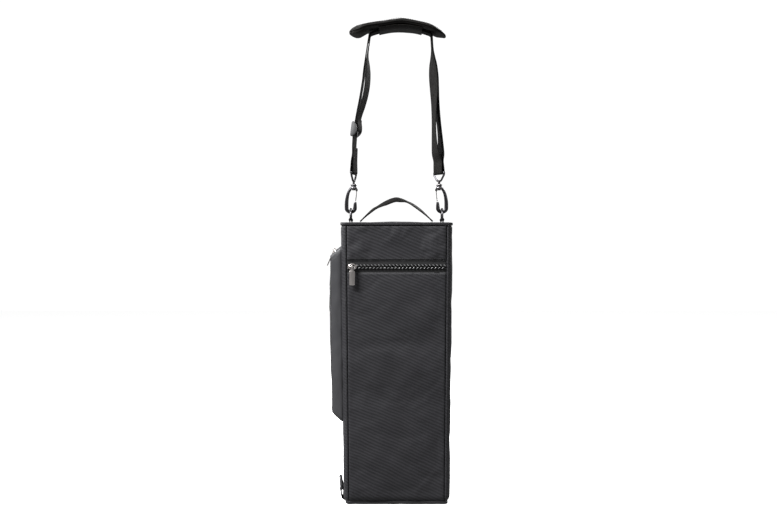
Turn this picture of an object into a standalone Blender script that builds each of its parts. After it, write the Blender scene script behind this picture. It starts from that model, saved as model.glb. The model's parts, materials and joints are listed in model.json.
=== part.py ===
"""A padded, box-shaped carry bag with a zipped face, a side pocket, a handle and a shoulder strap.

Units are metres and +Z is up. The origin is the centre of the bag's foot. The zipped face looks
towards -Y, the plain face towards +Y, and the pocket is on the -X side. The strap is held up.
"""

import math

import bmesh
import bpy
from mathutils import Matrix, Vector

# Bag body
HEIGHT = 0.400
WIDTH_TOP = 0.158
WIDTH_FOOT = 0.150
DEPTH = 0.078
CORNER_RADIUS = 0.009
FOOT_RADIUS = 0.013
CLOTH = 0.0014
FOAM = 0.004
LINING = 0.0006
GAP = 0.0003
SEAM_X = WIDTH_TOP / 2 - CORNER_RADIUS + 0.001
BINDING_HEIGHT = 0.0045
BINDING_DEPTH = 0.0036
BINDING_PROUD = 0.0008
FOOT_INSET = 0.0033
FOOT_BAND_TOP = 0.0040
RIM_Z = HEIGHT - BINDING_HEIGHT - GAP
TOP_PANEL_Z = 0.3975
FOAM_HALF_X = 0.070
FOOT_FOAM_HALF = (0.062, 0.0255)
MOUTH_HALF = (0.066, 0.008)

# Zips, in a frame with X along the zip, -Y out of the cloth and Z across the tape
FRONT_ZIP_Z = 0.337
FRONT_BAND = 0.0085
FRONT_ZIP_HALF = 0.0700
FRONT_SLIDER_X = -0.0628
POCKET_BAND = 0.0055
POCKET_ZIP_DROP = 0.0013
POCKET_ZIP_HALF = 0.0265
POCKET_SLIDER_X = -0.0195
COIL_INNER = 0.0008
COIL_OUTER = 0.0028
COIL_ROUNDING = 0.0005
COIL_Y = (-0.0003, 0.0019)
TAPE_Y = (0.0004, 0.0012)
SLIDER_HALF = (0.0065, 0.0042)
SLIDER_Y = (-0.0024, -0.0006)
SLIDER_ROUNDING = 0.0036
SLIDER_BACK_HALF = (0.0060, 0.0038)
SLIDER_BACK_Y = (0.0022, 0.0030)
SLIDER_BACK_ROUNDING = 0.0030
SLIDER_POST_HALF = (0.0015, 0.0005)
BAIL_Y = -0.0050
BAIL_FOOT = (-0.0042, -0.0015)
BAIL_SHOULDER = (-0.0041, -0.0042)
BAIL_CROWN_X = -0.0032
BAIL_WIRE = 0.0007
PULL_HALF = (0.0038, 0.0006)
PULL_NECK = 0.0019
PULL_LENGTH = 0.0262
PULL_ROUNDING = 0.0012
PULL_EYE = 0.0017
PULL_EYE_WIRE = 0.0006
POCKET_PULL_LEAN = math.radians(24)

# Side pocket
POCKET_BASE_Z = (0.116, 0.366)
POCKET_FACE_Z = (0.130, 0.352)
POCKET_Y = 0.002
POCKET_BASE_HALF = 0.033
POCKET_FACE_HALF = 0.030
POCKET_BASE_X = WIDTH_TOP / 2
POCKET_FACE_X = 0.0955
POCKET_CLOTH = 0.0012
POCKET_SPLIT = 0.0024
POCKET_CORNER = 0.006
POCKET_LIP = 0.0022
SLOT_DEPTH = 0.004

# Webbing and rings
WEBBING_HALF = 0.010
TAB_THICKNESS = 0.0011
STRAP_THICKNESS = 0.0012
RING_X = 0.066
RING_BAR_Z = 0.4045
RING_SIDE = 0.004
RING_RADIUS = 0.012
RING_WIRE = 0.0015
RING_ARC_Z = RING_BAR_Z + RING_SIDE
TAB_LOOP = 0.00235
LOWER_RING_AT = (-0.0784, -0.008, 0.019)
LOWER_RING_LEAN = math.radians(8)
LOWER_RING_OUTLINE = ((0.0125, 0.0), (0.0125, 0.005), (0.0070, 0.0155))
LOWER_RING_WIRE = 0.0016

# Handle
HANDLE_HALF = 0.052
HANDLE_FOOT_Z = 0.402
HANDLE_RISE = 0.0335
HANDLE_ARCH = 1.55
HANDLE_PIVOT_Z = 0.404
HANDLE_END_HALF = 0.0052
HANDLE_WIDENING = 0.265
HANDLE_THICKNESS = 0.0015

# Snap hooks: offsets run outwards from the swivel's axis
HOOK_OFFSET = 0.0041
SWIVEL_X = RING_X - HOOK_OFFSET
HOOK_WIRE = 0.0021
CROOK_RADIUS = 0.0054
CROOK_Z = RING_ARC_Z + RING_RADIUS - RING_WIRE - 0.0005 - HOOK_WIRE + CROOK_RADIUS
HOOK_SPINE = ((0.0040, 0.4512), (0.0068, 0.4475), (0.0091, 0.4370), (0.0095, 0.4290))
HOOK_NOSE = (-0.0022, 0.4305)
COLLAR_Z = (0.4493, 0.4565)
COLLAR_BORE = 0.00205
COLLAR_WALL = 0.0045
COLLAR_EDGE = 0.0008
EAR_X = (-0.0056, -0.0030)
EAR_Y = (0.0018, 0.0028)
EAR_Z = (0.4466, 0.4502)
GATE_PIVOT = (-0.0042, 0.4480)
GATE_TIP = (-0.0026, 0.4311)
GATE_WIRE = 0.0009
EYE_Z = 0.4735
EYE_WIRE = 0.0015
EYE_HALF = 0.0115
EYE_SIDE = 0.0035
EYE_DROP = 0.012
EYE_FOOT_HALF = 0.0040
STEM_RADIUS = 0.0017
STEM_HEAD_RADIUS = 0.0026
STEM_HEAD_Z = (0.4474, 0.4490)

# Shoulder strap
TWIST = {-1: math.radians(15), 1: math.radians(35)}
TWIST_Z = (0.615, 0.655)
PLY = 0.0009
SPREAD = 0.0042
SPREAD_Z = (0.486, 0.600)
EYE_LOOP = 0.0024
STRAP_END_Z = 0.506
STRAP_LEG_Z = 0.500
STRAP_KINK = (-0.0604, 0.518)
RETURN_TOP_Z = 0.6555
RETURN_BOW = 0.0045
RETURN_BOW_Z = (0.550, 0.643)

# Adjuster, in a frame with X inwards, Y across the webbing and Z up along it
ADJUSTER_Z = 0.535
ADJUSTER_REACH = 0.0105
ADJUSTER_BAR_HEIGHT = 0.0022
ADJUSTER_OUTER_X = (-0.0033, -0.0019)
ADJUSTER_RAIL_X = 0.0042
ADJUSTER_RAIL_Y = (0.0114, 0.0136)
ADJUSTER_BAR = 0.0032
ADJUSTER_BAR_HALF = 0.0125
ADJUSTER_BAR_WIRE = 0.0009
SEWN_LOOP = 0.0021

# Shoulder pad: an arch about an axis along Y
PAD_CENTRE = (0.006, 0.561)
PAD_SPAN = (math.radians(-33), math.radians(31))
PAD_HALF = 0.024
STRAP_ARC = 0.1214
PLY_PITCH = 0.0017
BEND_RADIUS = 0.005
BEND_AT = math.radians(20.5)
BEND_END = {-1: math.radians(80.7), 1: math.radians(86.8)}
COVER_ARC = 0.1312
COVER_THICKNESS = 0.0014
PAD_FOAM_ARC = 0.1270
PAD_FOAM_THICKNESS = 0.0064
PAD_FOAM_INSET = 0.008
PAD_LINING_ARC = 0.1229
PAD_LINING_THICKNESS = 0.0010
SLEEVE_ARC = 0.1182
SLEEVE_THICKNESS = 0.0008
SLEEVE_SPAN = (math.radians(-14), math.radians(14))
SLEEVE_HALF = 0.014

PARTS = "carry_bag"
TOOLS = "carry_bag_cutters"


# Scene, collections and materials

def clear_scene():
    for obj in list(bpy.data.objects):
        bpy.data.objects.remove(obj, do_unlink=True)


def new_collection(name):
    collection = bpy.data.collections.new(name)
    bpy.context.scene.collection.children.link(collection)
    return collection


def new_material(name, colour, roughness, metallic=0.0):
    material = bpy.data.materials.new(name)
    material.use_nodes = True
    shader = material.node_tree.nodes["Principled BSDF"]
    shader.inputs["Base Color"].default_value = (*colour, 1.0)
    shader.inputs["Roughness"].default_value = roughness
    shader.inputs["Metallic"].default_value = metallic
    return material


def make_materials():
    return {
        "cloth": new_material("cloth", (0.028, 0.028, 0.031), 0.75),
        "gusset": new_material("gusset", (0.050, 0.050, 0.053), 0.55),
        "binding": new_material("binding", (0.012, 0.012, 0.013), 0.60),
        "webbing": new_material("webbing", (0.010, 0.010, 0.011), 0.65),
        "foam": new_material("foam", (0.55, 0.55, 0.55), 0.90),
        "lining": new_material("lining", (0.45, 0.46, 0.48), 0.35),
        "tape": new_material("tape", (0.015, 0.015, 0.016), 0.80),
        "coil": new_material("coil", (0.030, 0.030, 0.032), 0.45),
        "metal": new_material("metal", (0.42, 0.39, 0.39), 0.30, 1.0),
        "dark_metal": new_material("dark_metal", (0.07, 0.07, 0.075), 0.35, 1.0),
        "steel": new_material("steel", (0.55, 0.55, 0.55), 0.25, 1.0),
        "pad": new_material("pad", (0.016, 0.014, 0.013), 0.50),
        "plastic": new_material("plastic", (0.020, 0.020, 0.022), 0.45),
    }


def place(obj, material=None, parent=None):
    """Link a part, or a cutter when it has no material, and hang it on its parent's origin."""
    if material is None:
        bpy.data.collections[TOOLS].objects.link(obj)
        obj.hide_render = True
        obj.display_type = "WIRE"
    else:
        bpy.data.collections[PARTS].objects.link(obj)
        obj.data.materials.append(material)
    obj.parent = parent
    return obj


def pivot(name, at, parent=None):
    """An empty on a joint's axis. `at` is relative to the parent's origin."""
    empty = bpy.data.objects.new(name, None)
    empty.empty_display_size = 0.01
    empty.location = at
    empty.parent = parent
    bpy.data.collections[PARTS].objects.link(empty)
    return empty


# Meshes

def mesh_of(work, name):
    mesh = bpy.data.meshes.new(name)
    bmesh.ops.recalc_face_normals(work, faces=work.faces)
    work.to_mesh(mesh)
    work.free()
    return mesh


def box(name, low, high, round_axis=None, radius=0.0, segments=3):
    """A block between two corners, with the edges along one axis rounded if asked."""
    low = Vector(low)
    high = Vector(high)
    work = bmesh.new()
    bmesh.ops.create_cube(work, size=1.0)
    for vertex in work.verts:
        for axis in range(3):
            vertex.co[axis] = low[axis] if vertex.co[axis] < 0 else high[axis]
    if round_axis is not None:
        edges = []
        for edge in work.edges:
            along = edge.verts[1].co - edge.verts[0].co
            if abs(along[round_axis]) > 0.5 * (high - low)[round_axis]:
                edges.append(edge)
        bmesh.ops.bevel(work, geom=edges, offset=radius, segments=segments, profile=0.5, affect="EDGES")
    return bpy.data.objects.new(name, mesh_of(work, name))


def width_factor(z):
    """The bag narrows towards its foot."""
    foot = WIDTH_FOOT / WIDTH_TOP
    return foot + (1 - foot) * z / HEIGHT


def tapered(obj):
    for vertex in obj.data.vertices:
        vertex.co.x *= width_factor(vertex.co.z)
    return obj


def ribbon(name, sections, thickness):
    """A band swept through sections, each a centre, a width direction and a half width."""
    work = bmesh.new()
    rows = []
    for centre, across, half in sections:
        near = work.verts.new(Vector(centre) - Vector(across) * half)
        far = work.verts.new(Vector(centre) + Vector(across) * half)
        rows.append((near, far))
    for (near, far), (next_near, next_far) in zip(rows, rows[1:]):
        work.faces.new((near, far, next_far, next_near))
    obj = bpy.data.objects.new(name, mesh_of(work, name))
    solidify(obj, thickness, 0.0)
    return obj


def flat_ribbon(name, path, half, thickness, y=0.0):
    """A ribbon of one width whose path lies in an XZ plane."""
    sections = [((x, y, z), (0, 1, 0), half) for x, z in path]
    return ribbon(name, sections, thickness)


def wire(name, points, radius, cyclic=False, resolution=1):
    """A bent wire as a poly curve with a round section."""
    curve = bpy.data.curves.new(name, "CURVE")
    curve.dimensions = "3D"
    curve.bevel_depth = radius
    curve.bevel_resolution = resolution
    curve.use_fill_caps = True
    spline = curve.splines.new("POLY")
    spline.points.add(len(points) - 1)
    for point, at in zip(spline.points, points):
        point.co = (*at, 1.0)
    spline.use_cyclic_u = cyclic
    return bpy.data.objects.new(name, curve)


def wire_mesh(name, points, radius, cyclic=False, resolution=1):
    """The same wire as a closed mesh, for Booleans."""
    curve_object = wire(name, points, radius, cyclic, resolution)
    bpy.context.scene.collection.objects.link(curve_object)
    depsgraph = bpy.context.evaluated_depsgraph_get()
    mesh = bpy.data.meshes.new_from_object(curve_object.evaluated_get(depsgraph))
    bpy.data.objects.remove(curve_object, do_unlink=True)
    work = bmesh.new()
    work.from_mesh(mesh)
    bmesh.ops.remove_doubles(work, verts=work.verts, dist=0.00001)
    return bpy.data.objects.new(name, mesh_of(work, name))


def turned(name, profile, steps=16):
    """A solid turned about its own Z axis, from (radius, height) points listed top to bottom."""
    work = bmesh.new()
    verts = [work.verts.new((radius, 0.0, height)) for radius, height in profile]
    for first, second in zip(verts, verts[1:]):
        work.edges.new((first, second))
    mesh = bpy.data.meshes.new(name)
    work.to_mesh(mesh)
    work.free()
    obj = bpy.data.objects.new(name, mesh)
    screw = obj.modifiers.new("Screw", "SCREW")
    screw.steps = steps
    screw.render_steps = steps
    screw.use_merge_vertices = True
    screw.merge_threshold = 0.00001
    return obj


def arc(centre, radius, start, end, steps):
    """Points on an arc in a plane, with angles measured from the first axis to the second."""
    points = []
    for step in range(steps + 1):
        angle = start + (end - start) * step / steps
        points.append((centre[0] + radius * math.cos(angle), centre[1] + radius * math.sin(angle)))
    return points


# Modifiers

def solidify(obj, thickness, offset):
    shell = obj.modifiers.new("Solidify", "SOLIDIFY")
    shell.thickness = thickness
    shell.offset = offset
    shell.use_even_offset = True


def boolean(obj, tool, operation):
    step = obj.modifiers.new(operation.title(), "BOOLEAN")
    step.operation = operation
    step.solver = "EXACT"
    step.object = tool


def fuse(obj, *tools):
    for tool in tools:
        place(tool, parent=obj)
        boolean(obj, tool, "UNION")


# Bag body

def body_shell(name):
    """The outer cloth as one hollow form, with rounded corners and a rounded foot."""
    half = WIDTH_TOP / 2
    work = bmesh.new()
    bmesh.ops.create_cube(work, size=1.0)
    for vertex in work.verts:
        vertex.co.x *= 2 * half
        vertex.co.y *= DEPTH
        vertex.co.z = 0.0 if vertex.co.z < 0 else HEIGHT - 0.001
    upright = [e for e in work.edges if abs(e.verts[0].co.z - e.verts[1].co.z) > 0.1]
    bmesh.ops.bevel(work, geom=upright, offset=CORNER_RADIUS, segments=4, profile=0.5, affect="EDGES")
    foot = [e for e in work.edges if max(v.co.z for v in e.verts) < 0.001]
    bmesh.ops.bevel(work, geom=foot, offset=FOOT_RADIUS, segments=4, profile=0.5, affect="EDGES",
                    clamp_overlap=True)
    obj = bpy.data.objects.new(name, mesh_of(work, name))
    tapered(obj)
    solidify(obj, CLOTH, -1.0)
    return obj


def body_panel(name, material, low, high):
    """One panel of the outer cloth: the part of the shell inside a box that follows the taper."""
    panel = place(body_shell(name), material)
    region = place(tapered(box(name + "_region", low, high)))
    boolean(panel, region, "INTERSECT")


def make_panels(materials):
    cloth = materials["cloth"]
    near = 0.020
    reach = 0.060
    far = 0.100
    zip_low = FRONT_ZIP_Z - FRONT_BAND - GAP
    zip_high = FRONT_ZIP_Z + FRONT_BAND + GAP
    body_panel("back_panel", cloth, (-SEAM_X, near, FOOT_BAND_TOP), (SEAM_X, reach, RIM_Z))
    body_panel("front_panel_lower", cloth, (-SEAM_X, -reach, FOOT_BAND_TOP), (SEAM_X, -near, zip_low))
    body_panel("front_panel_upper", cloth, (-SEAM_X, -reach, zip_high), (SEAM_X, -near, RIM_Z))
    edge = SEAM_X + GAP
    body_panel("side_panel_left", cloth, (-far, -reach, FOOT_BAND_TOP), (-edge, reach, RIM_Z))
    body_panel("side_panel_right", cloth, (edge, -reach, FOOT_BAND_TOP), (far, reach, RIM_Z))


def rounded_plate(name, inset, low_z, high_z, radius):
    half_x = WIDTH_TOP / 2 - inset
    half_y = DEPTH / 2 - inset
    return tapered(box(name, (-half_x, -half_y, low_z), (half_x, half_y, high_z), 2, radius, 4))


def binding_ring(name, inset, low_z, high_z, radius):
    """A bound seam that runs round the bag, as a plate with its middle cut out."""
    ring = rounded_plate(name, inset, low_z, high_z, radius)
    hole = rounded_plate(name + "_hole", inset + BINDING_DEPTH, low_z - 0.002, high_z + 0.002,
                         radius - BINDING_DEPTH)
    return ring, hole


def make_ends(materials):
    top, top_hole = binding_ring("top_binding", -BINDING_PROUD, HEIGHT - BINDING_HEIGHT, HEIGHT,
                                 CORNER_RADIUS + BINDING_PROUD)
    foot, foot_hole = binding_ring("bottom_binding", FOOT_INSET, GAP, FOOT_BAND_TOP - GAP,
                                   CORNER_RADIUS - FOOT_INSET)
    for ring, hole in ((top, top_hole), (foot, foot_hole)):
        place(ring, materials["binding"])
        boolean(ring, place(hole), "DIFFERENCE")
    top_inset = BINDING_DEPTH - BINDING_PROUD + GAP
    foot_inset = FOOT_INSET + BINDING_DEPTH + GAP
    top_panel = rounded_plate("top_panel", top_inset, TOP_PANEL_Z - CLOTH, TOP_PANEL_Z,
                              CORNER_RADIUS - top_inset)
    bottom_panel = rounded_plate("bottom_panel", foot_inset, 0.0, CLOTH, CORNER_RADIUS - foot_inset)
    place(top_panel, materials["cloth"])
    place(bottom_panel, materials["cloth"])


def make_padding(materials):
    """Foam slabs behind each panel, and the lining inside them."""
    outer_y = DEPTH / 2 - CLOTH - GAP
    inner_y = outer_y - FOAM
    outer_x = WIDTH_TOP / 2 - CLOTH - GAP
    inner_x = outer_x - FOAM
    flat_y = DEPTH / 2 - CORNER_RADIUS
    low = FOOT_RADIUS
    high = TOP_PANEL_Z - CLOTH - GAP
    mouth_x, mouth_z = MOUTH_HALF
    foot_x, foot_y = FOOT_FOAM_HALF
    foot_low = CLOTH + GAP
    slabs = {
        "back_foam": ((-FOAM_HALF_X, inner_y, low), (FOAM_HALF_X, outer_y, RIM_Z)),
        "front_foam_lower": ((-FOAM_HALF_X, -outer_y, low), (FOAM_HALF_X, -inner_y, FRONT_ZIP_Z - mouth_z)),
        "front_foam_upper": ((-FOAM_HALF_X, -outer_y, FRONT_ZIP_Z + mouth_z), (FOAM_HALF_X, -inner_y, RIM_Z)),
        "left_foam": ((-outer_x, -flat_y, low), (-inner_x, flat_y, RIM_Z)),
        "right_foam": ((inner_x, -flat_y, low), (outer_x, flat_y, RIM_Z)),
        "top_foam": ((-inner_x + GAP, -inner_y + GAP, high - FOAM), (inner_x - GAP, inner_y - GAP, high)),
        "bottom_foam": ((-foot_x, -foot_y, foot_low), (foot_x, foot_y, foot_low + FOAM)),
    }
    for name, (near, far) in slabs.items():
        place(tapered(box(name, near, far)), materials["foam"])
    lining_x = inner_x - GAP
    lining_y = inner_y - GAP
    floor = CLOTH + FOAM + 2 * GAP
    lining = tapered(box("lining", (-lining_x, -lining_y, floor), (lining_x, lining_y, high - FOAM - GAP)))
    place(lining, materials["lining"])
    solidify(lining, LINING, -1.0)
    edge = mouth_z - LINING
    mouth = box("lining_mouth", (-mouth_x, -DEPTH, FRONT_ZIP_Z - edge), (mouth_x, 0, FRONT_ZIP_Z + edge))
    boolean(lining, place(mouth), "DIFFERENCE")


# Zips

def make_zip(prefix, frame, half, band, slider_x, lean, materials):
    """Two tapes, two coil halves, a slider and its pull, built in the zip's own frame."""
    sides = {"upper": 1, "lower": -1}
    for side, sign in sides.items():
        tape_z = sorted((sign * (COIL_OUTER + GAP), sign * (band - GAP)))
        coil_z = sorted((sign * COIL_INNER, sign * COIL_OUTER))
        tape = box(f"{prefix}_tape_{side}", (-half, TAPE_Y[0], tape_z[0]), (half, TAPE_Y[1], tape_z[1]))
        coil = box(f"{prefix}_coil_{side}", (-half, COIL_Y[0], coil_z[0]), (half, COIL_Y[1], coil_z[1]),
                   0, COIL_ROUNDING, 2)
        place(tape, materials["tape"], frame)
        place(coil, materials["coil"], frame)
    slider = make_slider(f"{prefix}_slider", frame, slider_x, materials)
    make_pull(f"{prefix}_pull", slider, lean, materials)


def make_slider(name, frame, slider_x, materials):
    """Top and bottom plates joined by a post between the coils, with a bail for the pull."""
    half_x, half_z = SLIDER_HALF
    slider = box(name, (-half_x, SLIDER_Y[0], -half_z), (half_x, SLIDER_Y[1], half_z), 1, SLIDER_ROUNDING)
    slider.location = (slider_x, 0, 0)
    place(slider, materials["metal"], frame)
    back_x, back_z = SLIDER_BACK_HALF
    bottom = box(name + "_bottom", (-back_x, SLIDER_BACK_Y[0], -back_z), (back_x, SLIDER_BACK_Y[1], back_z),
                 1, SLIDER_BACK_ROUNDING)
    post_x, post_z = SLIDER_POST_HALF
    post_y = (sum(SLIDER_Y) / 2, sum(SLIDER_BACK_Y) / 2)
    post = box(name + "_post", (-post_x, post_y[0], -post_z), (post_x, post_y[1], post_z))
    path = [BAIL_FOOT, BAIL_SHOULDER, (BAIL_CROWN_X, BAIL_Y)]
    path += [(-x, y) for x, y in reversed(path)]
    bail = wire_mesh(name + "_bail", [(x, y, 0) for x, y in path], BAIL_WIRE)
    fuse(slider, bottom, post, bail)
    return slider


def make_pull(name, slider, lean, materials):
    """A flat pull whose eye is threaded on the bail. Its origin is the bail's axis."""
    half_x, half_y = PULL_HALF
    pull = box(name, (-half_x, -half_y, -PULL_LENGTH), (half_x, half_y, -PULL_NECK), 1, PULL_ROUNDING, 2)
    pull.location = (0, BAIL_Y, 0)
    pull.rotation_euler = (lean, 0, 0)
    place(pull, materials["metal"], slider)
    ring = [(0.0, y, z) for y, z in arc((0, 0), PULL_EYE, 0, math.tau, 12)[:-1]]
    fuse(pull, wire_mesh(name + "_eye", ring, PULL_EYE_WIRE, cyclic=True))


def make_front_zip(materials):
    frame = pivot("front_zip_frame", (0, -DEPTH / 2, FRONT_ZIP_Z))
    make_zip("front_zip", frame, FRONT_ZIP_HALF, FRONT_BAND, FRONT_SLIDER_X, 0.0, materials)


# Side pocket

def pocket_shell(name):
    """A shallow box with sloping sides, open towards the bag."""
    work = bmesh.new()
    bmesh.ops.create_cube(work, size=1.0)
    for vertex in work.verts:
        face = vertex.co.x < 0
        heights = POCKET_FACE_Z if face else POCKET_BASE_Z
        half = POCKET_FACE_HALF if face else POCKET_BASE_HALF
        vertex.co.z = heights[0] if vertex.co.z < 0 else heights[1]
        vertex.co.y = POCKET_Y + (half if vertex.co.y > 0 else -half)
        vertex.co.x = -POCKET_FACE_X if face else -POCKET_BASE_X
    slanted = [e for e in work.edges if abs(e.verts[0].co.x - e.verts[1].co.x) > 0.01]
    bmesh.ops.bevel(work, geom=slanted, offset=POCKET_CORNER, segments=3, profile=0.5, affect="EDGES")
    rim = [e for e in work.edges if max(v.co.x for v in e.verts) < -POCKET_FACE_X + 0.0001]
    bmesh.ops.bevel(work, geom=rim, offset=POCKET_LIP, segments=2, profile=0.5, affect="EDGES")
    back = [f for f in work.faces if min(v.co.x for v in f.verts) > -POCKET_BASE_X - 0.0001]
    bmesh.ops.delete(work, geom=back, context="FACES_ONLY")
    obj = bpy.data.objects.new(name, mesh_of(work, name))
    tapered(obj)
    solidify(obj, POCKET_CLOTH, -1.0)
    return obj


def make_pocket(materials):
    split = -POCKET_FACE_X + POCKET_SPLIT
    reach = DEPTH
    far = -POCKET_FACE_X - 0.02
    panel = place(pocket_shell("pocket_panel"), materials["cloth"])
    panel_region = tapered(box("pocket_panel_region", (far, -reach, 0), (split, reach, HEIGHT)))
    boolean(panel, place(panel_region), "INTERSECT")
    gusset = place(pocket_shell("pocket_gusset"), materials["gusset"])
    gusset_region = tapered(box("pocket_gusset_region", (split + GAP, -reach, 0),
                                (-POCKET_BASE_X - GAP, reach, HEIGHT)))
    boolean(gusset, place(gusset_region), "INTERSECT")
    frame = pocket_zip_frame()
    half = POCKET_ZIP_HALF + GAP
    slot = box("pocket_zip_slot", (-half, -SLOT_DEPTH, -POCKET_BAND), (half, SLOT_DEPTH, POCKET_BAND))
    place(slot, parent=frame)
    boolean(gusset, slot, "DIFFERENCE")
    make_zip("pocket_zip", frame, POCKET_ZIP_HALF, POCKET_BAND, POCKET_SLIDER_X, POCKET_PULL_LEAN,
             materials)


def pocket_zip_frame():
    """On the sloping top gusset, with X towards the front and -Y out of the slope."""
    base = Vector((-POCKET_BASE_X * width_factor(POCKET_BASE_Z[1]), 0, POCKET_BASE_Z[1]))
    lip = Vector((-POCKET_FACE_X * width_factor(POCKET_FACE_Z[1]), 0, POCKET_FACE_Z[1]))
    up_slope = (base - lip).normalized()
    along = Vector((0, -1, 0))
    inward = up_slope.cross(along)
    middle = (base + lip) / 2 - up_slope * POCKET_ZIP_DROP
    frame = pivot("pocket_zip_frame", middle + Vector((0, POCKET_Y, 0)))
    turn = Matrix((along, inward, up_slope)).transposed()
    frame.rotation_euler = turn.to_euler()
    return frame


# Rings, tabs and handle

def top_ring(name, x, materials):
    """A D-ring that stands on its bar. Its origin is the bar's axis."""
    arch = arc((0, RING_SIDE), RING_RADIUS, 0, math.pi, 12)
    outline = [(RING_RADIUS - 0.0006, 0.0)] + arch + [(-RING_RADIUS + 0.0006, 0.0)]
    ring = wire(name, [(0, y, z) for y, z in outline], RING_WIRE, cyclic=True)
    ring.location = (x, 0, RING_BAR_Z)
    place(ring, materials["dark_metal"])


def top_tab(name, side, materials):
    """Webbing sewn to the top, with a loop that holds the ring's bar."""
    base = TOP_PANEL_Z + GAP + TAB_THICKNESS / 2 + 0.00005
    loop = arc((RING_X, RING_BAR_Z), TAB_LOOP, math.radians(-60), math.radians(240), 12)
    path = [(0.0742, base), (0.0700, base), (0.0680, base + 0.0002), (0.0672, base + 0.0012)]
    path += loop
    path += [(0.0648, base + 0.0012), (0.0640, base + 0.0002), (0.0620, base), (0.0570, base)]
    tab = flat_ribbon(name, [(side * x, z) for x, z in path], WEBBING_HALF, TAB_THICKNESS)
    place(tab, materials["webbing"])


def lower_ring(materials):
    """A six-sided plastic ring that stands on its bar at the foot of the pocket side."""
    outline = list(LOWER_RING_OUTLINE)
    outline += [(-y, z) for y, z in reversed(outline)]
    ring = wire("lower_ring", [(0, y, z) for y, z in outline], LOWER_RING_WIRE, cyclic=True)
    ring.location = LOWER_RING_AT
    ring.rotation_euler = (0, -LOWER_RING_LEAN, 0)
    place(ring, materials["plastic"])


def lower_tab(materials):
    x, y, z = LOWER_RING_AT
    over_bar = arc((x, z), TAB_LOOP, 0, math.pi, 8)
    inner = [(x + 0.0016, 0.0070), (x + 0.0020, 0.0120)]
    outer = [(x - 0.0010, 0.0120), (x + 0.0001, 0.0070)]
    tab = flat_ribbon("lower_ring_tab", inner + over_bar + outer, WEBBING_HALF, TAB_THICKNESS, y)
    place(tab, materials["webbing"])


def make_handle(materials):
    """An arch of webbing that narrows to its two sewn ends, about the axis it falls on."""
    sections = []
    steps = 18
    for step in range(steps + 1):
        along = 2 * step / steps - 1
        rise = HANDLE_RISE * (1 - abs(along) ** HANDLE_ARCH)
        half = min(WEBBING_HALF, HANDLE_END_HALF + HANDLE_WIDENING * rise)
        sections.append(((HANDLE_HALF * along, 0, HANDLE_FOOT_Z - HANDLE_PIVOT_Z + rise), (0, 1, 0), half))
    handle = ribbon("handle_webbing", sections, HANDLE_THICKNESS)
    handle.location = (0, 0, HANDLE_PIVOT_Z)
    place(handle, materials["webbing"])


# Snap hooks

def make_hook(prefix, side, strap_pivot, materials):
    """Swivel eye, hook body and gate. `side` is -1 for the left hook and 1 for the right one."""
    swivel = pivot(f"{prefix}_swivel", (side * SWIVEL_X, 0, -RING_ARC_Z), strap_pivot)
    make_eye(f"{prefix}_eye", side, swivel, materials)
    body = turned(f"{prefix}_body", collar_profile())
    place(body, materials["dark_metal"], swivel)
    crook = arc((HOOK_OFFSET, CROOK_Z), CROOK_RADIUS, 0, -math.pi, 8)
    path = [(side * u, 0, z) for u, z in [*HOOK_SPINE, *crook, HOOK_NOSE]]
    tools = [wire_mesh(f"{prefix}_spine", path, HOOK_WIRE)]
    for face in (-1, 1):
        low_x, high_x = sorted(side * x for x in EAR_X)
        low_y, high_y = sorted(face * y for y in EAR_Y)
        ear = box(f"{prefix}_ear_{face}", (low_x, low_y, EAR_Z[0]), (high_x, high_y, EAR_Z[1]))
        tools.append(ear)
    fuse(body, *tools)
    gate_pivot = pivot(f"{prefix}_gate_pivot", (side * GATE_PIVOT[0], 0, GATE_PIVOT[1]), swivel)
    tip = (side * (GATE_TIP[0] - GATE_PIVOT[0]), 0, GATE_TIP[1] - GATE_PIVOT[1])
    gate = wire(f"{prefix}_gate", [(0, 0, 0), tip], GATE_WIRE)
    place(gate, materials["steel"], gate_pivot)


def collar_profile():
    """The swivel block: a ring with a bore for the eye's stem."""
    low, high = COLLAR_Z
    rim = (COLLAR_BORE, high)
    bevel = [(COLLAR_WALL - COLLAR_EDGE, high), (COLLAR_WALL, high - COLLAR_EDGE)]
    return [rim, *bevel, (COLLAR_WALL, low), (COLLAR_BORE, low), rim]


def make_eye(name, side, swivel, materials):
    """A frame that holds the webbing on its top bar, with a headed stem below it."""
    foot = EYE_Z - EYE_DROP
    outline = [(EYE_HALF, EYE_Z), (EYE_HALF, EYE_Z - EYE_SIDE), (EYE_FOOT_HALF, foot)]
    outline += [(-y, z) for y, z in reversed(outline)]
    across = Vector((-side * math.sin(TWIST[side]), math.cos(TWIST[side]), 0))
    frame = wire_mesh(name, [tuple(across * y + Vector((0, 0, z))) for y, z in outline], EYE_WIRE,
                      cyclic=True)
    place(frame, materials["dark_metal"], swivel)
    head_low, head_high = STEM_HEAD_Z
    stem = [(0, foot), (STEM_RADIUS, foot), (STEM_RADIUS, head_high)]
    profile = [*stem, (STEM_HEAD_RADIUS, head_high), (STEM_HEAD_RADIUS, head_low), (0, head_low)]
    fuse(frame, turned(name + "_stem", profile))


# Shoulder strap

def strap_line(side):
    """The middle of the strap below the pad, as (x, z) points from top to bottom."""
    middle = BEND_RADIUS - PLY_PITCH / 2
    bend_x = PAD_CENTRE[0] + side * (STRAP_ARC - BEND_RADIUS) * math.sin(BEND_AT)
    bend_z = PAD_CENTRE[1] + (STRAP_ARC - BEND_RADIUS) * math.cos(BEND_AT)
    line = [(bend_x + side * middle, bend_z), (side * SWIVEL_X, EYE_Z)]
    if side < 0:
        line.insert(1, STRAP_KINK)
    return line


def strap_x(side, z):
    line = strap_line(side)
    for (x_high, z_high), (x_low, z_low) in zip(line, line[1:]):
        if z >= z_low:
            break
    return x_low + (x_high - x_low) * (z - z_low) / (z_high - z_low)


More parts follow.
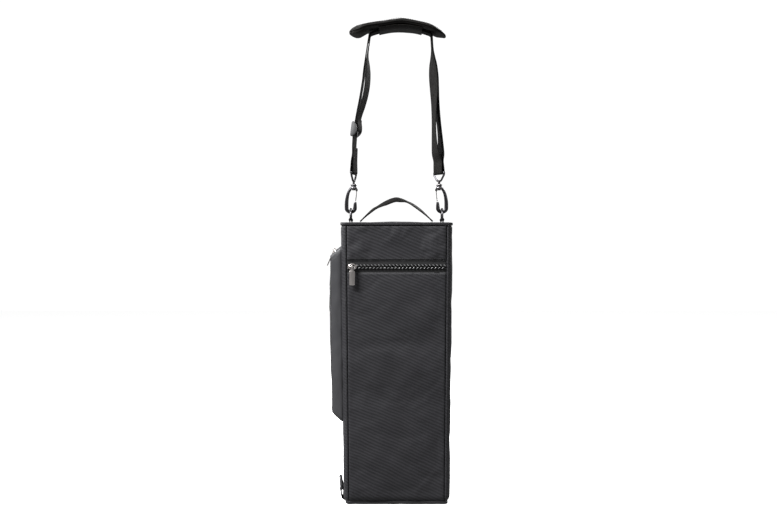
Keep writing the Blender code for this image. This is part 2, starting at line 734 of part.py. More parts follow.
def twist_at(side, z):
    """The strap turns between the pad and the hooks."""
    low, high = TWIST_Z
    share = min(max((high - z) / (high - low), 0.0), 1.0)
    return TWIST[side] * share * share * (3 - 2 * share)


def hump(z, span):
    """From 0 at both ends of a span of heights to 1 in its middle."""
    share = min(max((z - span[0]) / (span[1] - span[0]), 0.0), 1.0)
    return math.sin(math.pi * share)


def ply_out(side, z):
    """How far a ply stands from the strap's middle: the right side's loop hangs open above its hook."""
    if side < 0:
        return PLY
    low, high = SPREAD_Z
    share = min(max((high - z) / (high - low), 0.0), 1.0)
    return PLY + SPREAD * share * hump(z, SPREAD_Z) ** 0.5


def hanging(side, out, z):
    """A section of the hanging strap, `out` outwards from its middle at height z."""
    turn = twist_at(side, z)
    x = strap_x(side, z) + side * out * math.cos(turn)
    across = (-side * math.sin(turn), math.cos(turn), 0)
    return ((x, out * math.sin(turn), z - RING_ARC_Z), across, WEBBING_HALF)


def eye_loop(side, inwards):
    """The webbing's turn round a hook's eye, from the outer ply to the inner one."""
    loop = arc((0, EYE_Z), EYE_LOOP, math.radians(20), math.radians(-200), 12)
    neck = [(PLY, 0.4830), (0.0014, 0.4780)]
    path = neck + loop + [(-out, z) for out, z in reversed(neck)]
    if not inwards:
        path.reverse()
    return [hanging(side, out, z) for out, z in path]


def heights(high, low, steps):
    return [high + (low - high) * step / steps for step in range(steps + 1)]


def over_pad(drop, start_side):
    """A ply that runs through the pad, `drop` below the outer one, from one bend to the other."""
    radius = STRAP_ARC - drop
    bend = BEND_RADIUS - drop
    points = []
    for side in (start_side, -start_side):
        at = (PAD_CENTRE[0] + side * (STRAP_ARC - BEND_RADIUS) * math.sin(BEND_AT),
              PAD_CENTRE[1] + (STRAP_ARC - BEND_RADIUS) * math.cos(BEND_AT))
        turn = arc(at, bend, math.pi / 2 - side * BEND_END[side], math.pi / 2 - side * BEND_AT, 5)
        if side == start_side:
            points += turn
            top = arc(PAD_CENTRE, radius, math.pi / 2 - side * BEND_AT, math.pi / 2 + side * BEND_AT, 16)
            points += top[1:-1]
        else:
            points += reversed(turn)
    return [((x, 0, z - RING_ARC_Z), (0, 1, 0), WEBBING_HALF) for x, z in points]


def make_strap(strap_pivot, materials):
    """One length of webbing: left hook, up, through the pad, round the right hook and back."""
    top = TWIST_Z[1] + 0.005
    left_leg = heights(STRAP_LEG_Z, TWIST_Z[0], 3) + heights(TWIST_Z[0], top, 6)[1:]
    right_leg = heights(STRAP_LEG_Z, TWIST_Z[0], 8) + heights(TWIST_Z[0], top, 6)[1:]
    sections = [hanging(-1, -PLY, z) for z in heights(STRAP_END_Z, 2 * STRAP_LEG_Z - STRAP_END_Z, 1)]
    sections += eye_loop(-1, inwards=False)
    sections += [hanging(-1, PLY, z) for z in left_leg]
    sections += over_pad(0.0, -1)
    sections += [hanging(1, ply_out(1, z), z) for z in reversed(right_leg)]
    sections += eye_loop(1, inwards=True)
    sections += [hanging(1, -ply_out(1, z), z) for z in right_leg]
    sections += over_pad(PLY_PITCH, 1)
    sections.append(hanging(-1, -PLY, RETURN_TOP_Z + 0.0025))
    strap = ribbon("strap_webbing", sections, STRAP_THICKNESS)
    place(strap, materials["webbing"], strap_pivot)


def make_return_ply(strap_pivot, materials):
    """The doubled length between the pad and the adjuster, sewn round the adjuster's bar."""
    lean = (strap_x(-1, ADJUSTER_Z + 0.01) - strap_x(-1, ADJUSTER_Z)) / 0.01
    bar_z = ADJUSTER_Z - ADJUSTER_BAR * math.cos(TWIST[-1]) * lean
    loop = arc((-ADJUSTER_BAR, bar_z), SEWN_LOOP, 0, -math.pi, 10)
    bowed = heights(RETURN_TOP_Z, RETURN_BOW_Z[0], 12)
    path = [(-PLY - RETURN_BOW * hump(z, RETURN_BOW_Z), z) for z in bowed]
    path += [(-PLY, bar_z + 0.012), (-0.0012, bar_z + 0.005)]
    path += loop + [(-0.0044, bar_z + 0.006), (-0.0028, bar_z + 0.012)]
    ply = ribbon("strap_return_ply", [hanging(-1, out, z) for out, z in path], STRAP_THICKNESS)
    place(ply, materials["webbing"], strap_pivot)


def make_adjuster(strap_pivot, materials):
    """A slide with two outer bars on one side of the webbing and its sewn bar on the other."""
    x = strap_x(-1, ADJUSTER_Z)
    origin = pivot("adjuster_frame", (x, 0, ADJUSTER_Z - RING_ARC_Z), strap_pivot)
    up = Vector((strap_x(-1, ADJUSTER_Z + 0.01) - x, 0, 0.01)).normalized()
    across = Vector((math.sin(TWIST[-1]), math.cos(TWIST[-1]), 0))
    inward = across.cross(up).normalized()
    turn = Matrix((inward, across, inward.cross(across))).transposed()
    origin.rotation_euler = turn.to_euler()
    outer_low, outer_high = ADJUSTER_OUTER_X
    side_y = ADJUSTER_RAIL_Y[1]
    high_z = ADJUSTER_REACH
    low_z = high_z - ADJUSTER_BAR_HEIGHT
    adjuster = box("adjuster", (outer_low, -side_y, low_z), (outer_high, side_y, high_z))
    place(adjuster, materials["plastic"], origin)
    lower = box("adjuster_lower", (outer_low, -side_y, -high_z), (outer_high, side_y, -low_z))
    rail_z = high_z - 0.0005
    rails = []
    for sign in (-1, 1):
        near_y, far_y = sorted(sign * y for y in ADJUSTER_RAIL_Y)
        near = (outer_low, near_y, -rail_z)
        far = (ADJUSTER_RAIL_X, far_y, rail_z)
        rails.append(box(f"adjuster_rail_{sign}", near, far))
    bar_ends = [(ADJUSTER_BAR, sign * ADJUSTER_BAR_HALF, 0) for sign in (-1, 1)]
    fuse(adjuster, lower, *rails, wire_mesh("adjuster_bar", bar_ends, ADJUSTER_BAR_WIRE))


# Shoulder pad

def pad_layer(name, radius, thickness, span, half, pad_pivot, material, steps=16):
    sections = []
    for step in range(steps + 1):
        angle = span[0] + (span[1] - span[0]) * step / steps
        sections.append(((radius * math.sin(angle), 0, radius * math.cos(angle)), (0, 1, 0), half))
    place(ribbon(name, sections, thickness), material, pad_pivot)


def make_pad(strap_pivot, materials):
    pad_pivot = pivot("pad_pivot", (PAD_CENTRE[0], 0, PAD_CENTRE[1] - RING_ARC_Z), strap_pivot)
    foam_span = (PAD_SPAN[0] + PAD_FOAM_INSET, PAD_SPAN[1] - PAD_FOAM_INSET)
    pad = materials["pad"]
    pad_layer("pad_cover", COVER_ARC, COVER_THICKNESS, PAD_SPAN, PAD_HALF, pad_pivot, pad)
    pad_layer("pad_foam", PAD_FOAM_ARC, PAD_FOAM_THICKNESS, foam_span, PAD_HALF - 0.001, pad_pivot,
              materials["foam"])
    pad_layer("pad_lining", PAD_LINING_ARC, PAD_LINING_THICKNESS, PAD_SPAN, PAD_HALF, pad_pivot, pad)
    pad_layer("pad_sleeve", SLEEVE_ARC, SLEEVE_THICKNESS, SLEEVE_SPAN, SLEEVE_HALF, pad_pivot,
              materials["webbing"], 8)


def shade_round():
    for obj in bpy.data.collections[PARTS].objects:
        if obj.type == "MESH":
            obj.data.shade_smooth()
            obj.data.set_sharp_from_angle(angle=math.radians(35))


def main():
    clear_scene()
    new_collection(PARTS)
    new_collection(TOOLS)
    materials = make_materials()
    make_panels(materials)
    make_ends(materials)
    make_padding(materials)
    make_front_zip(materials)
    make_pocket(materials)
    for name, side in (("left", -1), ("right", 1)):
        top_ring(f"ring_{name}", side * RING_X, materials)
        top_tab(f"ring_tab_{name}", side, materials)
    lower_ring(materials)
    lower_tab(materials)
    make_handle(materials)
    strap_pivot = pivot("strap_pivot", (0, 0, RING_ARC_Z))
    make_hook("hook_left", -1, strap_pivot, materials)
    make_hook("hook_right", 1, strap_pivot, materials)
    make_strap(strap_pivot, materials)
    make_return_ply(strap_pivot, materials)
    make_adjuster(strap_pivot, materials)
    make_pad(strap_pivot, materials)
    shade_round()


main()
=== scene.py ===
"""The looks of a padded carry bag: sewn cloth, webbing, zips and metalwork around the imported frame.

Units are metres and +Z is up. The zipped face looks towards -Y and the pocket is on the -X side.
"""

import math

import bpy
import numpy as np
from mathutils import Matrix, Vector, noise
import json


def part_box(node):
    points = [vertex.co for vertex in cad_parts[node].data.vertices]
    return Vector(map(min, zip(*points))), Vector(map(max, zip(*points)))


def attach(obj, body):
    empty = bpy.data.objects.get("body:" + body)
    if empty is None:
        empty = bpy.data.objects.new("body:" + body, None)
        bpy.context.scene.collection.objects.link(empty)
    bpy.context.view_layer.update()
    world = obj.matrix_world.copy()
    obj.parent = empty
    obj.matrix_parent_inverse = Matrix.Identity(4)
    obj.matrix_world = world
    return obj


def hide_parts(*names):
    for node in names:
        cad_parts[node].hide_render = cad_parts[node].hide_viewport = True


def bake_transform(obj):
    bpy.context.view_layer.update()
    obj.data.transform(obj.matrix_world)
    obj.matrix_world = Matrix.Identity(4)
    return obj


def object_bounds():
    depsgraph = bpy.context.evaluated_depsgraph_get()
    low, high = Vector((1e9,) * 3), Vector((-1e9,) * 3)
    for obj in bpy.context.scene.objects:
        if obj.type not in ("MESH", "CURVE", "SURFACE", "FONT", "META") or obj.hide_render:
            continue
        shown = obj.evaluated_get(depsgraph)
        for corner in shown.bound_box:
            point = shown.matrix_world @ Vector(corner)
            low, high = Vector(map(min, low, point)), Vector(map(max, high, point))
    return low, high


MM = 0.001

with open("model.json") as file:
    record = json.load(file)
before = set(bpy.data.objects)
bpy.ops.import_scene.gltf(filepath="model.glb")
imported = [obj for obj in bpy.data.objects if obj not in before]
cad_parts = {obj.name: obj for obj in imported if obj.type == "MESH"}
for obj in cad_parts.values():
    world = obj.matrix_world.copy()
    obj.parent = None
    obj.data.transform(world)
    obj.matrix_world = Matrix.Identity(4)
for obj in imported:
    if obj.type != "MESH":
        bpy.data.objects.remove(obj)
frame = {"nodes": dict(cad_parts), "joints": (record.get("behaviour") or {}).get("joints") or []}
nodes = frame["nodes"]
cad_low, cad_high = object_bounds()

# Sizes that come from the frame
RIM_LOW, RIM_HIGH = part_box("top_binding")
FOOT_LOW, FOOT_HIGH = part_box("bottom_binding")
SIDE_LOW, SIDE_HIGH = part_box("side_panel_left")
BACK_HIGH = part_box("back_panel")[1]
UPPER_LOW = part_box("front_panel_upper")[0]
LOWER_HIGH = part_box("front_panel_lower")[1]
HEIGHT = RIM_HIGH.z
HALF_Y = SIDE_HIGH.y
HALF_X = -SIDE_LOW.x
CORNER = 9 * MM
FOOT_RADIUS = 13 * MM
NARROWING = 0.05063
SEAM = BACK_HIGH.x
CLOTH = 1.4 * MM
ZIP_Z = (UPPER_LOW.z + LOWER_HIGH.z) / 2


# Mesh helpers

def make_object(name, points, faces, uvs=None, material=None, sharp=40):
    """A mesh from points and faces, with one UV for each face corner, in metres along the cloth."""
    mesh = bpy.data.meshes.new(name)
    mesh.from_pydata([tuple(p) for p in points], [], [tuple(f) for f in faces])
    if uvs is not None:
        layer = mesh.uv_layers.new(name="UVMap")
        layer.data.foreach_set("uv", np.asarray(uvs, np.float32).ravel())
    mesh.shade_smooth()
    mesh.set_sharp_from_angle(angle=math.radians(sharp))
    obj = bpy.data.objects.new(name, mesh)
    bpy.context.scene.collection.objects.link(obj)
    if material is not None:
        mesh.materials.append(material)
    return obj


def grid_faces(rows, columns, wrap_rows=False, wrap_columns=False, keep=None):
    """Quads of a grid of points, and for each corner its (row, column) before wrapping."""
    faces, corners = [], []
    for i in range(rows if wrap_rows else rows - 1):
        for j in range(columns if wrap_columns else columns - 1):
            if keep is not None and not keep[i][j]:
                continue
            quad = [(i, j), (i + 1, j), (i + 1, j + 1), (i, j + 1)]
            faces.append([(a % rows) * columns + b % columns for a, b in quad])
            corners += quad
    return faces, corners


def sheet(name, points, u, v, material, thickness=0.0, wrap_rows=False, keep=None, flip=False):
    """A cloth sheet from a grid of points; u and v are the distances along its rows and columns."""
    rows, columns = points.shape[:2]
    faces, corners = grid_faces(rows, columns, wrap_rows, False, keep)
    u_all = np.append(u, u[-1] + (u[1] - u[0])) if wrap_rows else u
    uvs = [(u_all[a], v[b]) for a, b in corners]
    if flip:
        faces = [face[::-1] for face in faces]
        uvs = [uv for start in range(0, len(uvs), 4) for uv in uvs[start:start + 4][::-1]]
    obj = make_object(name, points.reshape(-1, 3), faces, uvs, material)
    if thickness:
        solid = obj.modifiers.new("Thickness", "SOLIDIFY")
        solid.thickness = thickness
        solid.offset = -1.0
        solid.use_rim = True
    return obj


def unit(vectors):
    vectors = np.asarray(vectors, float)
    return vectors / np.maximum(np.linalg.norm(vectors, axis=-1, keepdims=True), 1e-12)


def lengths(points):
    steps = np.linalg.norm(np.diff(points, axis=0), axis=1)
    return np.concatenate([[0.0], np.cumsum(steps)])


def spline(rows, step, closed=False):
    """Smooth rows of numbers, whose first three are a place, and space them evenly."""
    rows = np.asarray(rows, float)
    if closed:
        rows = np.vstack([rows[-1], rows, rows[:2]])
    else:
        rows = np.vstack([2 * rows[0] - rows[1], rows, 2 * rows[-1] - rows[-2]])
    dense = []
    for a, b, c, d in zip(rows, rows[1:], rows[2:], rows[3:]):
        for t in np.arange(8) / 8:
            dense.append(0.5 * (2 * b + (c - a) * t + (2 * a - 5 * b + 4 * c - d) * t ** 2
                                + (3 * b - a - 3 * c + d) * t ** 3))
    dense.append(rows[-2])
    dense = np.array(dense)
    along = lengths(dense[:, :3])
    count = max(4, round(along[-1] / step) + 1)
    targets = np.linspace(0, along[-1], count)
    even = np.stack([np.interp(targets, along, column) for column in dense.T], axis=1)
    return even[:-1] if closed else even


def sweep(name, centres, across, profile, material, closed=False, sharp=40):
    """A solid swept along a path. The profile is (across, out) pairs, one loop or one loop per place."""
    centres = np.asarray(centres, float)
    count = len(centres)
    if closed:
        tangent = unit(np.roll(centres, -1, axis=0) - np.roll(centres, 1, axis=0))
    else:
        tangent = unit(np.gradient(centres, axis=0))
    across = np.broadcast_to(np.asarray(across, float), centres.shape)
    across = unit(across - np.sum(across * tangent, axis=1, keepdims=True) * tangent)
    out = np.cross(tangent, across)
    profile = np.asarray(profile, float)
    if profile.ndim == 2:
        profile = np.broadcast_to(profile, (count,) + profile.shape)
    points = (centres[:, None] + across[:, None] * profile[..., :1] + out[:, None] * profile[..., 1:2])
    around = profile.shape[1]
    faces, corners = grid_faces(count, around, closed, True)
    u = lengths(np.vstack([centres, centres[:1]]))
    v = lengths(np.vstack([profile[0], profile[0][:1]]))
    uvs = [(u[a], v[b]) for a, b in corners]
    if not closed:
        first = list(range(around))
        last = [(count - 1) * around + j for j in range(around)]
        faces += [first, last[::-1]]
        uvs += [(0, v[j]) for j in range(around)] + [(u[count - 1], v[j]) for j in range(around)][::-1]
    return make_object(name, points.reshape(-1, 3), faces, uvs, material, sharp)


def circle(radius, steps=12, squash=1.0):
    angles = np.linspace(0, math.tau, steps, endpoint=False)
    return np.stack([radius * np.cos(angles), radius * squash * np.sin(angles)], axis=1)


def rounded_bar(half_width, half_height, radius, steps=3):
    """A rectangle with round corners as one loop."""
    loop = []
    for cx, cy, start in ((1, 1, 0), (-1, 1, 90), (-1, -1, 180), (1, -1, 270)):
        for step in range(steps + 1):
            angle = math.radians(start + 90 * step / steps)
            loop.append((cx * (half_width - radius) + radius * math.cos(angle),
                         cy * (half_height - radius) + radius * math.sin(angle)))
    return np.array(loop)


def band_profile(half_width, half_thickness, curl=0.0, steps=8):
    """A flat band's section, rolled about its length by `curl` radians for each metre of width."""
    line = np.linspace(-1, 1, steps + 1) * (half_width - half_thickness)
    nose = math.pi / 2 - np.linspace(0, math.pi, 5)[1:-1]
    top = [(a, half_thickness) for a in line]
    right = [(line[-1] + half_thickness * math.cos(t), half_thickness * math.sin(t)) for t in nose]
    loop = np.array(top + right + [(-a, -b) for a, b in top] + [(-a, -b) for a, b in right])
    if abs(curl) < 1e-6:
        return loop
    radius = 1 / curl
    angle = loop[:, 0] * curl
    return np.stack([(radius + loop[:, 1]) * np.sin(angle),
                     (radius + loop[:, 1]) * np.cos(angle) - radius], axis=1)


def webbing(name, rows, half_thickness, material, step=1.6 * MM):
    """A band along rows of (place, across, half width, curl)."""
    rows = spline(rows, step)
    profile = [band_profile(row[6], half_thickness, row[7]) for row in rows]
    return sweep(name, rows[:, :3], rows[:, 3:6], profile, material)


def join(name, objects):
    """Several pieces as one."""
    bpy.context.view_layer.update()
    with bpy.context.temp_override(active_object=objects[0], selected_editable_objects=objects):
        bpy.ops.object.join()
    objects[0].name = name
    objects[0].data.name = name
    return objects[0]


def stitches(name, points, normals, material, pitch=3.0 * MM, length=2.3 * MM, radius=0.28 * MM):
    """A row of thread stitches that lie on a surface."""
    points = np.asarray(points, float)
    along = lengths(points)
    places = np.arange(pitch / 2, along[-1], pitch)
    at = np.stack([np.interp(places, along, column) for column in points.T], axis=1)
    ahead = np.stack([np.interp(places + length / 2, along, column) for column in points.T], axis=1)
    behind = np.stack([np.interp(places - length / 2, along, column) for column in points.T], axis=1)
    up = np.stack([np.interp(places, along, column) for column in np.asarray(normals, float).T], axis=1)
    tangent = unit(ahead - behind)
    side = unit(np.cross(tangent, up))
    up = unit(up)
    stations = [(-0.5, 0.25, -0.3), (-0.38, 0.8, 0.25), (0.0, 1.0, 0.6), (0.38, 0.8, 0.25), (0.5, 0.25, -0.3)]
    ring = np.linspace(0, math.tau, 6, endpoint=False)
    base, faces = [], []
    for share, size, lift in stations:
        for angle in ring:
            base.append((share * length, size * radius * math.cos(angle),
                         radius * (lift + size * math.sin(angle))))
    for i in range(len(stations) - 1):
        for j in range(6):
            faces.append((i * 6 + j, i * 6 + (j + 1) % 6, (i + 1) * 6 + (j + 1) % 6, (i + 1) * 6 + j))
    faces += [tuple(range(5, -1, -1)), tuple(range(24, 30))]
    base = np.array(base)
    verts = (at[:, None] + tangent[:, None] * base[None, :, :1] + side[:, None] * base[None, :, 1:2]
             + up[:, None] * base[None, :, 2:3])
    every = [tuple(index + 30 * k for index in face) for k in range(len(places)) for face in faces]
    return make_object(name, verts.reshape(-1, 3), every, None, material, 60)


# Materials

BAND_SLOPE = 0.42
BAND_PITCH = 4.6 * MM


def node(tree, kind, inputs=None, **settings):
    made = tree.nodes.new("ShaderNode" + kind)
    for key, value in settings.items():
        setattr(made, key, value)
    for key, value in (inputs or {}).items():
        if isinstance(value, bpy.types.NodeSocket):
            tree.links.new(value, made.inputs[key])
        else:
            made.inputs[key].default_value = value
    return made


def maths(tree, operation, first, second=0.0):
    return node(tree, "Math", {0: first, 1: second}, operation=operation).outputs[0]


def mixed(tree, share, low, high):
    mix = node(tree, "MixRGB", {0: share}, blend_type="MIX")
    for index, value in ((1, low), (2, high)):
        if isinstance(value, bpy.types.NodeSocket):
            tree.links.new(value, mix.inputs[index])
        else:
            mix.inputs[index].default_value = (*value, 1.0)
    return mix.outputs[0]


def surface(name):
    material = bpy.data.materials.new(name)
    material.use_nodes = True
    tree = material.node_tree
    return material, tree, tree.nodes["Principled BSDF"]


def noise_texture(tree, vector, scale, detail=3.0, roughness=0.55):
    return node(tree, "TexNoise", {"Vector": vector, "Scale": scale, "Detail": detail,
                                   "Roughness": roughness}).outputs["Fac"]


def finish_surface(tree, shader, height, distance, strength=1.0):
    bump = node(tree, "Bump", {"Height": height, "Distance": distance, "Strength": strength})
    tree.links.new(bump.outputs[0], shader.inputs["Normal"])


def level(tree, value, low, high):
    made = node(tree, "MapRange", {"Value": value, "To Min": low, "To Max": high})
    return made.outputs[0]


def half_wave(tree, value, pitch):
    """A smooth 0 to 1 wave of a length in metres."""
    turn = maths(tree, "MULTIPLY", value, math.tau / pitch)
    made = node(tree, "Math", {0: maths(tree, "SINE", turn), 1: 0.5, 2: 0.5}, operation="MULTIPLY_ADD")
    return made.outputs[0]


def woven(name, dark, light, pitch, slope, rough, sheen, cross=0.35, depth=0.12 * MM, shade=0.6, bands=0.0,
          gloss=0.18):
    """Twill or ribbed cloth: slanted ridges crossed by finer threads, with soft changes of colour.

    `bands` is the strength of the broad slanted lines that a fine twill shows from a distance.
    """
    material, tree, shader = surface(name)
    uv = node(tree, "UVMap", uv_map="UVMap").outputs[0]
    split = node(tree, "SeparateXYZ", {0: uv})
    u, v = split.outputs[0], split.outputs[1]
    slanted = maths(tree, "ADD", u, maths(tree, "MULTIPLY", v, slope))
    object_space = node(tree, "TexCoord").outputs["Object"]
    wobble = maths(tree, "MULTIPLY", noise_texture(tree, object_space, 900.0, 2.0), 0.35 * pitch)
    ridge = half_wave(tree, maths(tree, "ADD", slanted, wobble), pitch)
    thread = half_wave(tree, v, pitch * 0.71)
    weave = maths(tree, "ADD", maths(tree, "MULTIPLY", ridge, 1 - cross),
                  maths(tree, "MULTIPLY", thread, cross))
    fibre = noise_texture(tree, object_space, 2600.0, 3.0)
    patch = noise_texture(tree, object_space, 26.0, 4.0)
    height = maths(tree, "ADD", weave, maths(tree, "MULTIPLY", fibre, 0.25))
    tone = maths(tree, "ADD", maths(tree, "MULTIPLY", weave, shade),
                 maths(tree, "MULTIPLY", patch, 1 - shade))
    if bands:
        gentle = maths(tree, "ADD", v, maths(tree, "MULTIPLY", u, BAND_SLOPE))
        drift = maths(tree, "MULTIPLY", noise_texture(tree, object_space, 11.0, 2.0), 11 * MM)
        band = half_wave(tree, maths(tree, "ADD", gentle, drift), BAND_PITCH)
        tone = maths(tree, "ADD", tone, maths(tree, "MULTIPLY", maths(tree, "SUBTRACT", band, 0.5), bands))
        height = maths(tree, "ADD", height, maths(tree, "MULTIPLY", band, 2.0 * bands))
    colour = mixed(tree, level(tree, tone, 0.0, 1.0), dark, light)
    tree.links.new(colour, shader.inputs["Base Color"])
    tree.links.new(level(tree, patch, rough - 0.08, rough + 0.10), shader.inputs["Roughness"])
    shader.inputs["Sheen Weight"].default_value = sheen
    shader.inputs["Sheen Roughness"].default_value = 0.45
    shader.inputs["Specular IOR Level"].default_value = gloss
    finish_surface(tree, shader, height, depth)
    return material


def metal(name, base, worn, rough, streak=1.0):
    """Plated metal with brushed streaks and paler worn edges."""
    material, tree, shader = surface(name)
    object_space = node(tree, "TexCoord").outputs["Object"]
    stretch = node(tree, "Mapping", {"Vector": object_space, "Scale": (400.0, 400.0, 2600.0)}).outputs[0]
    brushed = noise_texture(tree, stretch, 1.0, 4.0)
    cloud = noise_texture(tree, object_space, 160.0, 4.0)
    edge = node(tree, "MapRange", {"Value": node(tree, "NewGeometry").outputs["Pointiness"],
                                   "From Min": 0.50, "From Max": 0.60}).outputs[0]
    wear = maths(tree, "MULTIPLY", edge, level(tree, cloud, 0.2, 1.1))
    colour = mixed(tree, wear, base, worn)
    tree.links.new(mixed(tree, maths(tree, "MULTIPLY", cloud, 0.25), colour, (0.01, 0.01, 0.011)),
                   shader.inputs["Base Color"])
    shader.inputs["Metallic"].default_value = 1.0
    tree.links.new(level(tree, brushed, rough - 0.08, rough + 0.14), shader.inputs["Roughness"])
    finish_surface(tree, shader, brushed, 0.02 * MM * streak, 0.6)
    return material


def moulded(name, base, worn, rough, grain=1400.0):
    """Satin plastic with a fine spark-eroded grain and rubbed edges."""
    material, tree, shader = surface(name)
    object_space = node(tree, "TexCoord").outputs["Object"]
    fine = noise_texture(tree, object_space, grain, 2.0)
    cloud = noise_texture(tree, object_space, 90.0, 3.0)
    edge = node(tree, "MapRange", {"Value": node(tree, "NewGeometry").outputs["Pointiness"],
                                   "From Min": 0.50, "From Max": 0.62}).outputs[0]
    tree.links.new(mixed(tree, maths(tree, "MULTIPLY", edge, cloud), base, worn),
                   shader.inputs["Base Color"])
    tree.links.new(level(tree, cloud, rough - 0.06, rough + 0.10), shader.inputs["Roughness"])
    finish_surface(tree, shader, fine, 0.05 * MM, 0.7)
    return material


def leatherette(name):
    material, tree, shader = surface(name)
    object_space = node(tree, "TexCoord").outputs["Object"]
    cells = node(tree, "TexVoronoi", {"Vector": object_space, "Scale": 620.0},
                 feature="DISTANCE_TO_EDGE").outputs["Distance"]
    pores = noise_texture(tree, object_space, 1800.0, 3.0)
    patch = noise_texture(tree, object_space, 40.0, 4.0)
    height = maths(tree, "ADD", maths(tree, "MINIMUM", cells, 0.25), maths(tree, "MULTIPLY", pores, 0.15))
    tree.links.new(mixed(tree, patch, (0.002, 0.0018, 0.0016), (0.0062, 0.0055, 0.0050)),
                   shader.inputs["Base Color"])
    tree.links.new(level(tree, patch, 0.42, 0.62), shader.inputs["Roughness"])
    shader.inputs["Specular IOR Level"].default_value = 0.09
    finish_surface(tree, shader, height, 0.35 * MM, 0.8)
    return material


def foam_material(name):
    material, tree, shader = surface(name)
    object_space = node(tree, "TexCoord").outputs["Object"]
    cells = node(tree, "TexVoronoi", {"Vector": object_space, "Scale": 900.0}).outputs["Distance"]
    tree.links.new(mixed(tree, cells, (0.020, 0.020, 0.021), (0.045, 0.045, 0.047)),
                   shader.inputs["Base Color"])
    shader.inputs["Roughness"].default_value = 0.9
    finish_surface(tree, shader, cells, 0.3 * MM)
    return material


M = {
    "cloth": woven("cloth_twill", (0.004, 0.004, 0.0045), (0.027, 0.0265, 0.030), 1.5 * MM, 0.75, 0.55, 0.02,
                   bands=0.46),
    "gusset": woven("gusset_cloth", (0.022, 0.022, 0.024), (0.044, 0.044, 0.047), 0.8 * MM, 0.0, 0.42, 0.03,
                    depth=0.05 * MM, shade=0.35),
    "binding": woven("binding_tape", (0.005, 0.005, 0.0055), (0.026, 0.0255, 0.028), 1.1 * MM, 0.0, 0.40,
                     0.03, cross=0.15, depth=0.12 * MM),
    "webbing": woven("webbing_ribbed", (0.0008, 0.0008, 0.0007), (0.0088, 0.0082, 0.0077), 2.4 * MM, 0.5,
                     0.7, 0.0, cross=0.5, depth=0.25 * MM, gloss=0.07),
    "tape": woven("zip_tape", (0.003, 0.003, 0.003), (0.014, 0.014, 0.015), 0.7 * MM, 0.0, 0.7, 0.03,
                  depth=0.06 * MM),
    "lining": woven("lining_cloth", (0.045, 0.046, 0.049), (0.075, 0.076, 0.080), 0.8 * MM, 0.0, 0.4, 0.05,
                    depth=0.03 * MM),
    "thread": woven("thread", (0.006, 0.006, 0.006), (0.030, 0.030, 0.032), 0.5 * MM, 1.0, 0.5, 0.05),
    "coil": moulded("coil_nylon", (0.11, 0.11, 0.112), (0.24, 0.24, 0.245), 0.30),
    "plastic": moulded("plastic_satin", (0.018, 0.018, 0.020), (0.09, 0.09, 0.095), 0.34),
    "slide": moulded("plastic_grey", (0.022, 0.022, 0.023), (0.07, 0.07, 0.073), 0.55),
    "metal": metal("gunmetal", (0.50, 0.47, 0.455), (0.80, 0.77, 0.76), 0.32),
    "dark_metal": metal("dark_plate", (0.055, 0.054, 0.058), (0.26, 0.25, 0.25), 0.32),
    "steel": metal("gate_steel", (0.34, 0.33, 0.32), (0.70, 0.69, 0.68), 0.20),
    "pad": leatherette("pad_leatherette"),
    "foam": foam_material("foam_cells"),
}


def sewn(obj, body, slot, *replaced):
    """A finished piece: it rides on a body and may stand for CAD nodes; slot is not used."""
    if replaced:
        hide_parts(*replaced)
    if body is not None:
        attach(obj, body)
    return obj


for slot_name, hidden in (("foam", [n for n in nodes if n.endswith("_foam") or "_foam_" in n]),
                          ("lining", ["lining"])):
    for hidden_name in hidden:
        nodes[hidden_name].data.materials.clear()
        nodes[hidden_name].data.materials.append(M[slot_name])


# The bag's surface

def width_factor(z):
    return 1 - NARROWING + NARROWING * np.asarray(z) / HEIGHT


def section_table(half_x, half_y, radius, steps=24):
    """Places and outward directions round a rounded rectangle, from the middle of its front."""
    rows = [(0.0, -half_y, 0.0, -1.0)]
    for cx, cy, start in ((1, -1, -90), (1, 1, 0), (-1, 1, 90), (-1, -1, 180)):
        for step in range(steps + 1):
            angle = math.radians(start + 90 * step / steps)
            nx, ny = math.cos(angle), math.sin(angle)
            rows.append((cx * (half_x - radius) + radius * nx, cy * (half_y - radius) + radius * ny, nx, ny))
    rows.append(rows[0])
    rows = np.array(rows)
    return lengths(rows[:, :2]), rows


def look_up(table, s):
    along, rows = table
    s = np.mod(s, along[-1])
    return [np.interp(s, along, column) for column in rows.T]


# the bag's section before it narrows, from the height where the factor is 1
FULL_X = HALF_X / float(width_factor(BACK_HIGH.z))
BAG = section_table(FULL_X, HALF_Y, CORNER)
ROUND = BAG[0][-1]
SEAM_S = SEAM / float(width_factor(BACK_HIGH.z))


def on_bag(s, z, out):
    """A place on the cloth at distance s round the bag and height z, moved outwards."""
    s, z, out = np.broadcast_arrays(s, z, out)
    x, y, nx, ny = look_up(BAG, s)
    lean = np.clip((FOOT_RADIUS - z) / FOOT_RADIUS, 0, 1)
    inset = FOOT_RADIUS * (1 - np.sqrt(1 - lean ** 2))
    level_out = np.sqrt(1 - lean ** 2)
    reach = out * level_out - inset
    return np.stack([(x + nx * reach) * width_factor(z), y + ny * reach, z - out * lean], axis=-1)


def round_corner(a, b, half_a, half_b, radius):
    """Moves points of a rectangle so that its corners become round."""
    da = np.clip(np.abs(a) - (half_a - radius), 0, radius)
    db = np.clip(np.abs(b) - (half_b - radius), 0, radius)
    both = (da > 0) & (db > 0)
    new_a = np.where(both, da * np.sqrt(1 - db ** 2 / (2 * radius ** 2)), da)
    new_b = np.where(both, db * np.sqrt(1 - da ** 2 / (2 * radius ** 2)), db)
    return (np.sign(a) * (np.minimum(np.abs(a), half_a - radius) + new_a),
            np.sign(b) * (np.minimum(np.abs(b), half_b - radius) + new_b))


